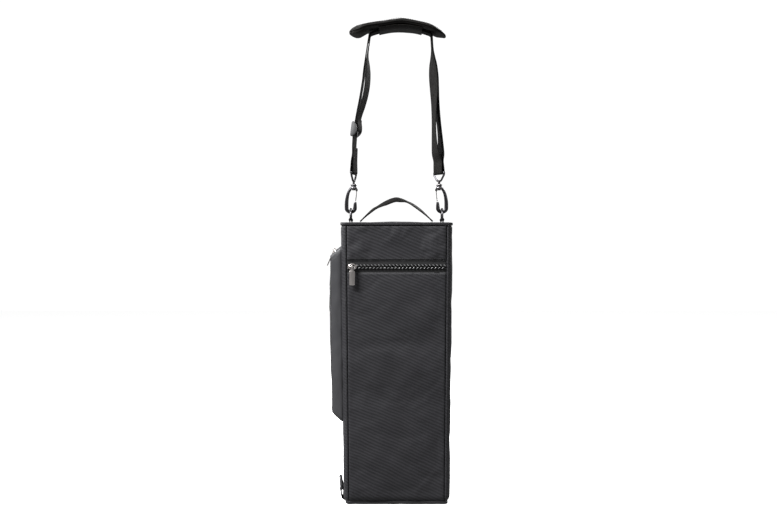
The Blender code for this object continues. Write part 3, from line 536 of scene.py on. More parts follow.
def fold_noise(u, v, angle, across, along, seed):
    """Soft folds that run at an angle over the cloth."""
    c, s = math.cos(angle), math.sin(angle)
    a = (u * c + v * s) / across
    b = (-u * s + v * c) / along
    flat = [noise.noise(Vector((x, y, seed))) for x, y in zip(a.ravel(), b.ravel())]
    return np.array(flat).reshape(a.shape)


def fine_lines(low, high, step, edge=(0.0, 0.5, 1.0, 1.7, 2.6, 3.8)):
    """Grid lines that are close together at both ends."""
    edge = np.array(edge) * MM
    inner = np.linspace(low + edge[-1], high - edge[-1], max(2, round((high - low) / step)))
    return np.concatenate([low + edge[:-1], inner, (high - edge[:-1])[::-1]])


class Panel:
    """A sewn sheet over padding. `place` maps (u, v, out) to the bag, and cloth simulation swells it."""

    made = []

    def __init__(self, name, u, v, place, bulge, wrinkle=1.5 * MM, roll=2.4 * MM, seed=0.0, dimples=()):
        self.name, self.u, self.v, self.place = name, u, v, place
        self.bulge, self.wrinkle, self.roll, self.seed, self.dimples = bulge, wrinkle, roll, seed, dimples
        self.coarse_u = np.linspace(*u, max(6, round((u[1] - u[0]) / (5 * MM))))
        self.coarse_v = np.linspace(*v, max(6, round((v[1] - v[0]) / (5 * MM))))
        grid_u, grid_v = np.meshgrid(self.coarse_u, self.coarse_v, indexing="ij")
        self.flat = place(grid_u, grid_v, 0.0)
        self.swell = self.crown(grid_u, grid_v)
        Panel.made.append(self)

    def crown(self, u, v):
        """The padding's swell, full in the middle and nothing at the seams."""
        share_u = np.clip((u - self.u[0]) / (self.u[1] - self.u[0]), 0, 1)
        share_v = np.clip((v - self.v[0]) / (self.v[1] - self.v[0]), 0, 1)
        return self.bulge * (4 * share_u * (1 - share_u)) ** 0.7 * (4 * share_v * (1 - share_v)) ** 0.35

    def start_cloth(self):
        faces = grid_faces(len(self.coarse_u), len(self.coarse_v))[0]
        self.sim = make_object(self.name + "_sim", self.flat.reshape(-1, 3), faces)
        rim = np.zeros(self.flat.shape[:2], bool)
        rim[0] = rim[-1] = rim[:, 0] = rim[:, -1] = True
        pins = self.sim.vertex_groups.new(name="pins")
        pins.add([int(i) for i in np.flatnonzero(rim.ravel())], 1.0, "REPLACE")
        cloth = self.sim.modifiers.new("Cloth", "CLOTH")
        settings = cloth.settings
        settings.quality = 5
        settings.mass = 0.15
        settings.tension_stiffness = settings.compression_stiffness = 20
        settings.shear_stiffness = 8
        settings.bending_stiffness = 0.4
        settings.vertex_group_mass = "pins"
        settings.use_pressure = True
        settings.uniform_pressure_force = 4.0
        settings.shrink_min = -0.035
        settings.effector_weights.gravity = 0.0
        cloth.point_cache.frame_start = 1
        cloth.point_cache.frame_end = SIM_FRAMES

    def take_cloth(self):
        """Keeps how far the simulated cloth swelled, evened out to the bulge that the padding allows."""
        evaluated = self.sim.evaluated_get(bpy.context.evaluated_depsgraph_get())
        co = np.empty(len(evaluated.data.vertices) * 3)
        evaluated.data.vertices.foreach_get("co", co)
        moved = co.reshape(self.flat.shape) - self.flat
        grid_u, grid_v = np.meshgrid(self.coarse_u, self.coarse_v, indexing="ij")
        out = unit(self.place(grid_u, grid_v, MM) - self.flat)
        swell = np.sum(moved * out, axis=-1)
        size = max(np.percentile(np.abs(swell), 97), 1e-6)
        swell = swell * np.sign(np.mean(swell)) * self.bulge / size
        self.swell = np.clip(swell, -0.3 * self.bulge, 1.15 * self.bulge)
        bpy.data.objects.remove(self.sim, do_unlink=True)

    def out(self, u, v):
        """How far the cloth stands out at (u, v)."""
        count_u, count_v = len(self.coarse_u), len(self.coarse_v)
        iu = np.clip(np.interp(u, self.coarse_u, np.arange(count_u)), 0, count_u - 1.001)
        iv = np.clip(np.interp(v, self.coarse_v, np.arange(count_v)), 0, count_v - 1.001)
        a, b = iu.astype(int), iv.astype(int)
        fa, fb = iu - a, iv - b
        fa, fb = fa * fa * (3 - 2 * fa), fb * fb * (3 - 2 * fb)
        s = self.swell
        swell = ((s[a, b] * (1 - fa) + s[a + 1, b] * fa) * (1 - fb)
                 + (s[a, b + 1] * (1 - fa) + s[a + 1, b + 1] * fa) * fb)
        edge = np.minimum(np.minimum(u - self.u[0], self.u[1] - u), np.minimum(v - self.v[0], self.v[1] - v))
        inner = 1 - np.exp(-np.maximum(edge, 0) / (9 * MM))
        folds = (0.5 * fold_noise(u, v, 0.95, 15 * MM, 60 * MM, self.seed)
                 + 1.1 * fold_noise(u, v, 1.15, 34 * MM, 110 * MM, self.seed + 7)
                 + 0.5 * fold_noise(u, v, -0.7, 22 * MM, 60 * MM, self.seed + 13))
        pucker = (0.35 * MM * fold_noise(u, v, 0.78, 7 * MM, 7 * MM, self.seed + 3)
                  * np.exp(-np.maximum(edge - MM, 0) / (5 * MM)) * np.clip(edge / (1.5 * MM), 0, 1))
        turn = np.clip(edge / self.roll, 0, 1)
        rolled = self.roll * (1 - np.sqrt(np.clip(1 - (1 - turn) ** 2, 0, 1)))
        dents = 0.0
        for at_u, at_v, size_u, size_v, depth in self.dimples:
            dents = dents + depth * np.exp(-((u - at_u) / size_u) ** 2 - ((v - at_v) / size_v) ** 2)
        over = swell + self.wrinkle * folds * inner + pucker - dents * inner - LOWEST
        return LOWEST + 0.5 * (over + np.sqrt(over ** 2 + SOFTENED ** 2)) - rolled

    def surface(self, u, v):
        u, v = np.broadcast_arrays(np.asarray(u, float), np.asarray(v, float))
        return self.place(u, v, self.out(u, v))

    def build(self, material, thickness=CLOTH, step=2.3 * MM, flip=False):
        u, v = fine_lines(*self.u, step), fine_lines(*self.v, step)
        grid_u, grid_v = np.meshgrid(u, v, indexing="ij")
        points = self.surface(grid_u, grid_v)
        return sheet(self.name, points, u, v, material, thickness, flip=flip)

    def stitch(self, name, u, v, pitch=3.0 * MM):
        """A row of stitches along a line of (u, v)."""
        u, v = np.broadcast_arrays(np.asarray(u, float), np.asarray(v, float))
        points = self.surface(u, v)
        normals = unit(self.place(u, v, MM) - self.place(u, v, 0.0))
        return stitches(name, points, normals, M["thread"], pitch)


SIM_FRAMES = 20
# the cloth never sinks as far as the foam behind it
LOWEST = -0.45 * MM
SOFTENED = 0.5 * MM
FRONT = (-SEAM_S, SEAM_S)
BEHIND = (ROUND / 2 - SEAM_S, ROUND / 2 + SEAM_S)
SEAM_GAP = 0.3 * MM
RIGHT = (SEAM_S + SEAM_GAP, ROUND / 2 - SEAM_S - SEAM_GAP)
LEFT = (ROUND / 2 + SEAM_S + SEAM_GAP, ROUND - SEAM_S - SEAM_GAP)
CLOTH_Z = (SIDE_LOW.z, SIDE_HIGH.z)
# dents are (u, v, size along u, size along v, depth)
back_dents = [(BEHIND[0] + 6 * MM, z, 9 * MM, 6 * MM, 1.6 * MM) for z in (0.375, 0.335, 0.285, 0.205)]
back_dents += [(BEHIND[1] - 12 * MM, 0.245, 14 * MM, 5 * MM, 1.0 * MM),
               (BEHIND[0] + 60 * MM, 0.115, 40 * MM, 6 * MM, 1.0 * MM)]

back = Panel("back_cloth", BEHIND, CLOTH_Z, on_bag, 3.2 * MM, seed=1.3, dimples=back_dents)
front_dents = [(FRONT[1] - 14 * MM, 0.040, 16 * MM, 5 * MM, 1.0 * MM),
               (FRONT[1] - 9 * MM, 0.085, 8 * MM, 9 * MM, 0.9 * MM),
               (FRONT[0] + 12 * MM, 0.050, 14 * MM, 5 * MM, 0.8 * MM),
               (0.012, 0.225, 60 * MM, 9 * MM, 0.7 * MM)]
front_low = Panel("front_cloth_lower", FRONT, (CLOTH_Z[0], LOWER_HIGH.z), on_bag, 2.6 * MM, seed=4.1,
                  wrinkle=1.4 * MM, dimples=front_dents)
front_high = Panel("front_cloth_upper", FRONT, (UPPER_LOW.z, CLOTH_Z[1]), on_bag, 1.9 * MM, seed=9.7,
                   wrinkle=1.1 * MM)
left = Panel("side_cloth_left", LEFT, CLOTH_Z, on_bag, 1.2 * MM, seed=14.2, wrinkle=0.7 * MM)
right = Panel("side_cloth_right", RIGHT, CLOTH_Z, on_bag, 2.0 * MM, seed=21.9, wrinkle=0.8 * MM)


# Top and foot

TOP_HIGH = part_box("top_panel")[1]
DOME = 4.2 * MM


def on_top(u, v, out):
    u, v, out = np.broadcast_arrays(u, v, out)
    half_x, half_y = TOP_HIGH.x, TOP_HIGH.y
    x, y = round_corner(u, v, half_x, half_y, 6 * MM)
    rise = DOME * (1 - (u / half_x) ** 2) * (1 - (v / half_y) ** 2)
    return np.stack([x, y, TOP_HIGH.z + rise + out], axis=-1)


top = Panel("top_cloth", (-TOP_HIGH.x, TOP_HIGH.x), (-TOP_HIGH.y, TOP_HIGH.y), on_top, 0.4 * MM, 0.35 * MM,
            1.2 * MM, 31.0)

BASE_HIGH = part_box("bottom_panel")[1]


def on_foot(u, v, out):
    u, v, out = np.broadcast_arrays(u, v, out)
    x, y = round_corner(u, v, BASE_HIGH.x, BASE_HIGH.y, 3 * MM)
    rise = 0.4 * MM * (1 - (1 - (u / BASE_HIGH.x) ** 2) * (1 - (v / BASE_HIGH.y) ** 2))
    return np.stack([x, y, rise + 0.0 * out], axis=-1)


# Side pocket

POCKET_LOW, POCKET_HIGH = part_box("pocket_panel")
GUSSET_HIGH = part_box("pocket_gusset")[1]
POCKET_Y = (POCKET_LOW.y + POCKET_HIGH.y) / 2
FACE_HALF = 30 * MM
BASE_HALF = 33 * MM
FACE_MID = (POCKET_LOW.z + POCKET_HIGH.z) / 2
FACE_HALF_Z = 111 * MM
BASE_HALF_Z = 125 * MM
GUSSET_MID = 241 * MM
FACE_X = 95.5 * MM
BASE_X = 79 * MM
ZIP_REACH = 26.5 * MM


def pocket_x(distance, z):
    return -distance * width_factor(z)


def on_pocket(u, v, out):
    """u runs along Y from the pocket's middle, v along Z."""
    u, v, out = np.broadcast_arrays(u, v, out)
    y, z = round_corner(u, v - FACE_MID, FACE_HALF, FACE_HALF_Z, 5 * MM)
    z = z + FACE_MID
    return np.stack([pocket_x(FACE_X - 0.6 * MM, z) - out, y + POCKET_Y, z], axis=-1)


pocket_face = Panel("pocket_cloth", (-FACE_HALF, FACE_HALF), (FACE_MID - FACE_HALF_Z, FACE_MID + FACE_HALF_Z),
                    on_pocket, 2.6 * MM, 0.8 * MM, 2.2 * MM, 40.5,
                    [(12 * MM, 0.30, 7 * MM, 26 * MM, 1.1 * MM), (-8 * MM, 0.20, 9 * MM, 20 * MM, 0.8 * MM)])

for panel in Panel.made:
    panel.start_cloth()
for step in range(1, SIM_FRAMES + 1):
    bpy.context.scene.frame_set(step)
for panel in Panel.made:
    panel.take_cloth()
bpy.context.scene.frame_set(1)

sewn(back.build(M["cloth"]), "root", "cloth", "back_panel")
sewn(front_low.build(M["cloth"]), "root", "cloth", "front_panel_lower")
sewn(front_high.build(M["cloth"]), "root", "cloth", "front_panel_upper")
sewn(left.build(M["cloth"]), "root", "cloth", "side_panel_left")
sewn(right.build(M["cloth"]), "root", "cloth", "side_panel_right")
sewn(top.build(M["cloth"], 1.0 * MM), "root", "cloth", "top_panel")
sewn(pocket_face.build(M["cloth"], 1.2 * MM, flip=True), "root", "cloth", "pocket_panel")

foot_u = fine_lines(-BASE_HIGH.x, BASE_HIGH.x, 4 * MM)
foot_v = fine_lines(-BASE_HIGH.y, BASE_HIGH.y, 4 * MM)
foot_points = on_foot(*np.meshgrid(foot_u, foot_v, indexing="ij"), 0.0)
sewn(sheet("foot_cloth", foot_points, foot_u, foot_v, M["cloth"], 1.2 * MM, flip=True), "root", "cloth",
     "bottom_panel")

# Seams: stitches beside each one
seam_z = np.arange(CLOTH_Z[0] + 8 * MM, CLOTH_Z[1] - 3 * MM, 1.5 * MM)
rows = []
for panel, at in ((back, BEHIND[0] + 1.3 * MM), (back, BEHIND[1] - 1.3 * MM), (left, LEFT[0] + 2.4 * MM),
                  (left, LEFT[1] - 2.4 * MM), (right, RIGHT[0] + 2.4 * MM), (right, RIGHT[1] - 2.4 * MM)):
    rows.append(panel.stitch(f"seam_{len(rows)}", at, seam_z))
seam_x = np.arange(FRONT[0] + 3 * MM, FRONT[1] - 3 * MM, 1.5 * MM)
for panel, at in ((front_low, LOWER_HIGH.z - 2.2 * MM), (front_high, UPPER_LOW.z + 2.2 * MM)):
    rows.append(panel.stitch(f"seam_{len(rows)}", seam_x, at))
sewn(join("seam_stitches", rows), "root", "binding")


def binding(name, z_low, z_high, outward, depth, material, body, replaced, corner_push=0.0):
    """A folded tape round the bag, with stitches along its lower edge."""
    s = np.linspace(0, ROUND, 300, endpoint=False)
    x, y, nx, ny = look_up(BAG, s)
    middle = (z_low + z_high) / 2
    turns = math.tau * s / ROUND
    sway = np.array([noise.noise(Vector((math.cos(t) * 6, math.sin(t) * 6, z_low * 50))) for t in turns])
    sway = sway * 0.35 * MM
    corner = np.abs(nx * ny) * 2 * corner_push
    reach = outward - depth / 2 + corner
    factor = width_factor(middle)
    centres = np.stack([(x + nx * reach) * factor, y + ny * reach, middle + 0 * s + sway], axis=1)
    half_z = (z_high - z_low) / 2
    section = rounded_bar(depth / 2, half_z, min(depth, half_z * 2) * 0.42, 4)
    normals = np.stack([nx, ny, 0 * s], axis=1)
    ring = sweep(name, centres, normals, section, material, closed=True)
    sewn(ring, body, "binding", replaced)
    stitch_at = centres + normals * (depth / 2) + np.array([0, 0, -half_z * 0.35])
    stitch_at = np.vstack([stitch_at, stitch_at[:1]])
    threads = stitches(name + "_stitches", stitch_at, np.vstack([normals, normals[:1]]), M["thread"],
                       2.6 * MM, 1.9 * MM, 0.2 * MM)
    sewn(threads, body, "binding")


binding("rim_binding", RIM_LOW.z, RIM_HIGH.z, 0.9 * MM, 3.4 * MM, M["binding"], "root", "top_binding",
        0.7 * MM)
binding("foot_binding", FOOT_LOW.z, FOOT_HIGH.z + 1.7 * MM, -2.5 * MM, 4.0 * MM, M["binding"], "root",
        "bottom_binding")


# Pocket gusset: a loft from the bag to the face, open at the zip

SHORT_STEPS = 26
LONG_STEPS = 110


def rounded_outline(half_y, half_z, straight, corner_steps=6):
    """Places round the pocket with the same count at every depth, and their outward directions."""
    radius = half_y - straight
    rows = []
    for sy, sz, start in ((1, 1, 0), (-1, 1, 90), (-1, -1, 180), (1, -1, 270)):
        for step in range(corner_steps + 1):
            angle = math.radians(start + 90 * step / corner_steps)
            rows.append((sy * straight + radius * math.cos(angle),
                         sz * (half_z - radius) + radius * math.sin(angle), math.cos(angle), math.sin(angle)))
        following = {0: SHORT_STEPS, 90: LONG_STEPS, 180: SHORT_STEPS, 270: LONG_STEPS}[start]
        side = {0: (-straight, half_z, 0, 1), 90: (-half_y, -(half_z - radius), -1, 0),
                180: (straight, -half_z, 0, -1), 270: (half_y, half_z - radius, 1, 0)}[start]
        last = rows[-1]
        for step in range(1, following):
            t = step / following
            rows.append(tuple(last[k] + (side[k] - last[k]) * t if k < 2 else side[k] for k in range(4)))
    return np.array(rows)


SLOT = (0.306, 0.815)
depths = np.array([-0.04, 0.0, 0.05, 0.12, 0.2, SLOT[0], 0.43, 0.56, 0.69, SLOT[1], 0.88, 0.94, 1.0])
gusset_rows = []
for depth in depths:
    share = max(depth, 0.0)
    half_y = BASE_HALF + (FACE_HALF - BASE_HALF) * share
    half_z = BASE_HALF_Z + (FACE_HALF_Z - BASE_HALF_Z) * share
    outline = rounded_outline(half_y, half_z, ZIP_REACH)
    swell = 0.9 * MM * math.sin(math.pi * share)
    tuck = 1.0 * MM * math.exp(-share / 0.05) + 0.5 * MM * math.exp((share - 1) / 0.04)
    folds = np.array([noise.noise(Vector((row[0] * 60, row[1] * 60, share * 2))) for row in outline])
    folds = folds * 0.7 * MM
    slot_zone = (outline[:, 1] > half_z - 7 * MM)
    reach = np.where(slot_zone, 0.0, swell + folds * math.sin(math.pi * share)) - tuck
    y = outline[:, 0] + outline[:, 2] * reach + POCKET_Y
    z = outline[:, 1] + outline[:, 3] * reach + GUSSET_MID
    x = pocket_x(BASE_X + (FACE_X - 1.0 * MM - BASE_X) * depth, z)
    gusset_rows.append(np.stack([x, y, z], axis=1))
gusset_points = np.array(gusset_rows).transpose(1, 0, 2)
around = gusset_points.shape[0]
gusset_u = np.arange(around) * 2.0 * MM
keep = np.ones((around, len(depths)), bool)
top_row = (gusset_points[:, 3, 2] > GUSSET_HIGH.z - 3.5 * MM)
inside = np.abs(gusset_points[:, 3, 1] - POCKET_Y) < ZIP_REACH + 0.2 * MM
slot_rows = np.flatnonzero(top_row & inside)
for i in slot_rows[:-1]:
    keep[i, (depths >= SLOT[0] - 1e-6) & (depths < SLOT[1] - 1e-6)] = False
gusset = sheet("pocket_gusset_cloth", gusset_points, gusset_u, depths * 21 * MM, M["gusset"], 1.0 * MM,
               wrap_rows=True, keep=keep)
sewn(gusset, "root", "gusset", "pocket_gusset")

# A cord seam where the gusset meets the face, and stitches on the face
lip = rounded_outline(FACE_HALF + 0.2 * MM, FACE_HALF_Z + 0.2 * MM, ZIP_REACH)
lip_z = lip[:, 1] + GUSSET_MID
lip_path = np.stack([pocket_x(FACE_X - 1.4 * MM, lip_z), lip[:, 0] + POCKET_Y, lip_z], axis=1)
lip_out = np.stack([0 * lip[:, 2], lip[:, 2], lip[:, 3]], axis=1)
sewn(sweep("pocket_lip_piping", lip_path, lip_out, circle(0.8 * MM, 8), M["webbing"], closed=True), "root",
     "binding")
inner = rounded_outline(FACE_HALF - 2.6 * MM, FACE_HALF_Z - 2.6 * MM, ZIP_REACH - 2 * MM)
face_points = pocket_face.surface(inner[:, 0], inner[:, 1] + FACE_MID)
sewn(stitches("pocket_stitches", face_points, np.tile((-1.0, 0, 0), (len(inner), 1)), M["thread"]), "root",
     "binding")


# Zips

FRONT_FRAME = (Vector((0, -HALF_Y, ZIP_Z)), Vector((1, 0, 0)), Vector((0, 1, 0)), Vector((0, 0, 1)))


def pocket_frame():
    """The pocket zip's middle, and its directions along, inwards and up the slope."""
    low_tape, high_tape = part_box("pocket_zip_coil_lower"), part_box("pocket_zip_coil_upper")
    low = (low_tape[0] + low_tape[1]) / 2
    high = (high_tape[0] + high_tape[1]) / 2
    up = Vector((high.x - low.x, 0, high.z - low.z)).normalized()
    along = Vector((0, -1, 0))
    inward = up.cross(along)
    return ((low + high) / 2 - inward * 0.8 * MM, along, inward, up)


def in_frame(place, points):
    """Points given as (along, inwards, up) in a zip's own frame."""
    origin, along, inward, up = place
    turn = np.array([along, inward, up])
    return np.asarray(points, float) @ turn + np.array(origin)


def in_world(place, across):
    return np.asarray(across, float) @ np.array([place[1], place[2], place[3]])


COIL_PITCH = 5.2 * MM
TOOTH_REACH = 1.9 * MM


def coil_half(name, place, half_length, sign, body, replaced):
    """One side of the zip: a row of nylon loops, slanted, on a cord."""
    count = round(2 * half_length / COIL_PITCH)
    pitch = 2 * (half_length - TOOTH_REACH) / (count - 0.5)
    rail = np.array([[x, 0.5 * MM, sign * 2.35 * MM] for x in np.linspace(-half_length, half_length, 40)])
    cord = sweep(name + "_cord", in_frame(place, rail), in_world(place, (0, 0, 1)), circle(0.42 * MM, 8),
                 M["tape"])
    loops = []
    shape = np.array([(-1.15, 0.4, 2.7), (-0.95, -0.2, 2.4), (-0.05, -0.45, 1.6), (0.95, -0.15, 0.92),
                      (1.0, 0.5, 0.95), (0.6, 0.9, 1.4), (0.2, 0.8, 2.2)]) * MM
    path = spline(shape, 0.45 * MM)
    for k in range(count):
        start = -half_length + TOOTH_REACH + (k + (0.5 if sign > 0 else 0.0)) * pitch
        points = path * (1, 1, sign) + (start, 0, 0)
        loops.append(sweep(f"{name}_{k}", in_frame(place, points), in_world(place, (1, 0, 0)),
                           circle(0.58 * MM, 7), M["coil"]))
    sewn(join(name, [cord] + loops), body, "coil", replaced)


def tape_half(name, place, half_length, sign, reach, body, replaced):
    u = np.linspace(-half_length, half_length, 90)
    v = np.linspace(1.9 * MM, reach, 7)
    grid_u, grid_v = np.meshgrid(u, v, indexing="ij")
    ripple = fold_noise(grid_u, grid_v, 0.2, 14 * MM, 14 * MM, 3.3 + sign) * 0.15 * MM
    depth = 0.95 * MM + 0.55 * MM * np.clip((grid_v - 2.6 * MM) / (3.5 * MM), 0, 1) + ripple
    points = in_frame(place, np.stack([grid_u, depth, grid_v * sign], axis=-1))
    sewn(sheet(name, points, u, v, M["tape"], 0.5 * MM, flip=sign < 0), body, "tape", replaced)


def zip_slider(name, place, at, body, replaced):
    """An oval body with a raised rim round a hollow whose plate is painted dark as shade, a post, a back
    plate and a crown.
    """
    rim_path = []
    for angle in np.linspace(0, math.tau, 36, endpoint=False):
        egg = 1 + 0.10 * math.cos(angle)
        rim_path.append((at + 5.4 * MM * math.cos(angle), -2.0 * MM, 3.5 * MM * egg * math.sin(angle)))
    rim = sweep("rim", in_frame(place, rim_path), in_world(place, (0, 1, 0)), circle(0.95 * MM, 10),
                M["metal"], closed=True)
    # painted shade: the plate sunk inside the rim takes the dark finish so the hollow reads dark
    plate = dished_plate("plate", place, at, 5.4 * MM, 3.5 * MM, -1.6 * MM, 0.9 * MM, M["dark_metal"])
    under = dished_plate("under", place, at, 5.8 * MM, 3.6 * MM, 2.3 * MM, 0.6 * MM, M["metal"])
    post = sweep("post", in_frame(place, [(at, -1.2 * MM, 0), (at, 0.5 * MM, 0), (at, 2.4 * MM, 0)]),
                 in_world(place, (1, 0, 0)), rounded_bar(1.3 * MM, 0.20 * MM, 0.15 * MM), M["metal"])
    crown_path = spline([(at - 4.3 * MM, -1.8 * MM, 0), (at - 4.1 * MM, -3.9 * MM, 0),
                         (at - 2.9 * MM, -5.0 * MM, 0), (at, -5.1 * MM, 0), (at + 2.9 * MM, -5.0 * MM, 0),
                         (at + 4.1 * MM, -3.9 * MM, 0), (at + 4.3 * MM, -1.8 * MM, 0)], 0.5 * MM)
    crown = sweep("crown", in_frame(place, crown_path), in_world(place, (0, 0, 1)),
                  rounded_bar(0.95 * MM, 0.55 * MM, 0.4 * MM), M["metal"])
    sewn(join(name, [rim, plate, under, post, crown]), body, "metal", replaced)


def dished_plate(name, place, at, half_a, half_b, front, thickness, material):
    """An oval plate, slightly hollow."""
    rings = np.array([0.02, 0.35, 0.65, 0.9, 1.0])
    angles = np.linspace(0, math.tau, 32, endpoint=False)
    points = []
    for angle in angles:
        points.append([(at + half_a * r * math.cos(angle), front + 0.25 * MM * (1 - r * r),
                        half_b * r * math.sin(angle)) for r in rings])
    points = in_frame(place, np.array(points))
    obj = sheet(name, points, angles * 4 * MM, rings * 4 * MM, material, 0.0, wrap_rows=True)
    solid = obj.modifiers.new("Thickness", "SOLIDIFY")
    solid.thickness = thickness
    solid.offset = 0.0
    with bpy.context.temp_override(active_object=obj, object=obj):
        bpy.ops.object.modifier_apply(modifier="Thickness")
    return obj


def zip_pull(name, hinge, down, out, body, replaced):
    """A flat pull with a raised border, a narrow neck and a round eye on the crown."""
    hinge, down, out = Vector(hinge), Vector(down), Vector(out)
    side = down.cross(out)
    turn = np.array([side, out, down])
    half = [(0.5, 1.15), (1.6, 1.3), (2.6, 1.5), (4.2, 1.7), (5.4, 2.2), (6.2, 3.3), (7.2, 3.75), (16.0, 3.8),
            (24.5, 3.8), (25.6, 3.5), (26.1, 2.9)]
    rows = spline([(0, 0, d * MM, w * MM) for d, w in half if d > 1.0], 0.7 * MM)
    border = 0.55 * MM
    sections = []
    for row in rows:
        w = row[3]
        inner_w = max(w - 1.0 * MM, 0.3 * MM)
        sink = 0.22 * MM if 8 * MM < row[2] < 24.6 * MM else 0.0
        face = [(w, -border), (w, border * 0.6), (w - 0.25 * MM, border), (inner_w + 0.2 * MM, border),
                (inner_w, border - sink)]
        left_face = [(-a, b) for a, b in face[::-1]]
        under = [(-w + 0.25 * MM, -border - 0.1 * MM), (w - 0.25 * MM, -border - 0.1 * MM)]
        sections.append(face + left_face + under)
    centres = np.array([(0, 0, row[2]) for row in rows]) @ turn + np.array(hinge)
    bar = sweep("bar", centres, side, sections, M["metal"])
    turns = np.linspace(0, math.tau, 24, endpoint=False)
    ring = [(0, 1.75 * MM * math.cos(t), 1.75 * MM * math.sin(t)) for t in turns]
    eye = sweep("eye", np.array(ring) @ turn + np.array(hinge), side,
                rounded_bar(1.1 * MM, 0.5 * MM, 0.4 * MM), M["metal"], closed=True)
    sewn(join(name, [bar, eye]), body, "metal", replaced)


FRONT_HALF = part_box("front_zip_coil_upper")[1].x
pocket_place = pocket_frame()
coil_low, coil_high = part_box("pocket_zip_coil_upper")
POCKET_HALF = (coil_high.y - coil_low.y) / 2
joints = {joint["name"]: joint for joint in frame["joints"]}
front_hinge = joints["front_pull_swing"]["pos_m"]
pocket_hinge = joints["pocket_pull_swing"]["pos_m"]

for sign, side in ((1, "upper"), (-1, "lower")):
    coil_half(f"front_coil_{side}", FRONT_FRAME, FRONT_HALF, sign, "root", f"front_zip_coil_{side}")
    tape_half(f"front_tape_{side}", FRONT_FRAME, FRONT_HALF, sign, 11 * MM, "root", f"front_zip_tape_{side}")
    coil_half(f"pocket_coil_{side}", pocket_place, POCKET_HALF, sign, "root", f"pocket_zip_coil_{side}")
    tape_half(f"pocket_tape_{side}", pocket_place, POCKET_HALF, sign, 6.4 * MM, "root",
              f"pocket_zip_tape_{side}")
zip_slider("front_slider_metal", FRONT_FRAME, front_hinge[0], "front_slider", "front_zip_slider")
zip_pull("front_pull_metal", front_hinge, (0, 0, -1), (0, -1, 0), "front_pull", "front_zip_pull")
pocket_at = (Vector(pocket_hinge) - pocket_place[0]).dot(pocket_place[1])
zip_slider("pocket_slider_metal", pocket_place, pocket_at, "pocket_slider", "pocket_zip_slider")
pull_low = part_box("pocket_zip_pull")[0]
hang = Vector((pull_low.x + 1.3 * MM - pocket_hinge[0], 0, pull_low.z - pocket_hinge[2])).normalized()
zip_pull("pocket_pull_metal", pocket_hinge, hang, hang.cross(Vector((0, -1, 0))), "pocket_pull",
         "pocket_zip_pull")


# Rings and their tabs

WEB_HALF = 10 * MM
WEB_THICK = 0.6 * MM
RING_BAR_Z = joints["ring_left_tilt"]["pos_m"][2]
RING_X = joints["ring_right_tilt"]["pos_m"][0]
RING_R = 12 * MM
RING_WIRE = 1.5 * MM
# in millimetres: how far the webbing's middle runs from the middle of the bar it goes round
TAB_R = 2.45

for side, sign in (("left", -1), ("right", 1)):
    outline = [(RING_R - 0.3 * MM, 0.0), (RING_R, 2.2 * MM), (RING_R, 4 * MM)]
    bow = np.linspace(0.25, math.pi - 0.25, 9)
    outline += [(RING_R * math.cos(t), 4 * MM + RING_R * math.sin(t)) for t in bow]
    outline += [(-a, b) for a, b in outline[2::-1]]
    outline += [(a, 0.0) for a in (-8 * MM, -3 * MM, 3 * MM, 8 * MM)]
    path = spline([(sign * RING_X, a, RING_BAR_Z + b) for a, b in outline], 0.9 * MM, closed=True)
    sewn(sweep(f"ring_{side}_metal", path, (1, 0, 0), circle(RING_WIRE, 14), M["dark_metal"], closed=True),
         f"ring_{side}", "dark_metal", f"ring_{side}")
    base = TOP_HIGH.z + 0.95 * MM
    # the tab's places are (away from the ring's middle, height)
    tab = [(9.2, base - 0.35 * MM), (7.2, base), (3.6, base + 0.1 * MM), (2.2, base + 0.5 * MM),
           (1.5, base + 1.9 * MM)]
    for t in np.radians(np.linspace(-50, 230, 10)):
        tab.append((TAB_R * math.cos(t), RING_BAR_Z + TAB_R * MM * math.sin(t)))
    tab += [(-1.5, base + 1.9 * MM), (-2.2, base + 0.5 * MM), (-3.8, base + 0.2 * MM),
            (-8.4, base + 0.5 * MM)]
    rows = [(sign * (RING_X + a * MM), 0, b, 0, 1, 0, WEB_HALF, 0.0) for a, b in tab]
    tab_obj = webbing(f"tab_{side}_body", rows, WEB_THICK, M["webbing"], 0.8 * MM)
    line_y = np.linspace(-8.6 * MM, 8.6 * MM, 14)
    threads = []
    for at in (5.6, -6.4):
        line_x = sign * (RING_X + at * MM)
        line = np.stack([0 * line_y + line_x, line_y, 0 * line_y + base + 0.62 * MM], axis=1)
        threads.append(stitches(f"tab_thread_{at}", line, np.tile((0, 0, 1.0), (14, 1)), M["thread"],
                                2.2 * MM, 1.7 * MM, 0.22 * MM))
    sewn(join(f"ring_tab_{side}_webbing", [tab_obj] + threads), "root", "webbing", f"ring_tab_{side}")

# Lower ring: six sides of moulded plastic, wider on its bar
low_joint = Vector(joints["lower_ring_swing"]["pos_m"])
lean = math.radians(8)
outline = [(-12.5, 0), (-7, 0), (0, 0), (7, 0), (12.5, 0), (12.8, 2.5), (12.5, 5), (10, 10.4), (7, 15.5),
           (3, 15.9), (-3, 15.9), (-7, 15.5), (-10, 10.4), (-12.5, 5), (-12.8, 2.5)]
path = [(low_joint.x - math.sin(lean) * b * MM, low_joint.y + a * MM, low_joint.z + math.cos(lean) * b * MM)
        for a, b in outline]
path = spline(path, 1.0 * MM, closed=True)
sewn(sweep("lower_ring_plastic", path, (math.cos(lean), 0, math.sin(lean)),
           rounded_bar(1.9 * MM, 1.6 * MM, 0.9 * MM, 4), M["plastic"], closed=True), "lower_ring", "plastic",
     "lower_ring")
x, y, z = low_joint / MM
tab = [(x + 8.5, 4.3), (x + 5.6, 4.2), (x + 3.0, 5.6), (x + 1.8, 8.5), (x + 2.0, 12.5)]
for t in np.radians(np.linspace(10, 170, 7)):
    tab.append((x + TAB_R * math.cos(t), z + TAB_R * math.sin(t)))
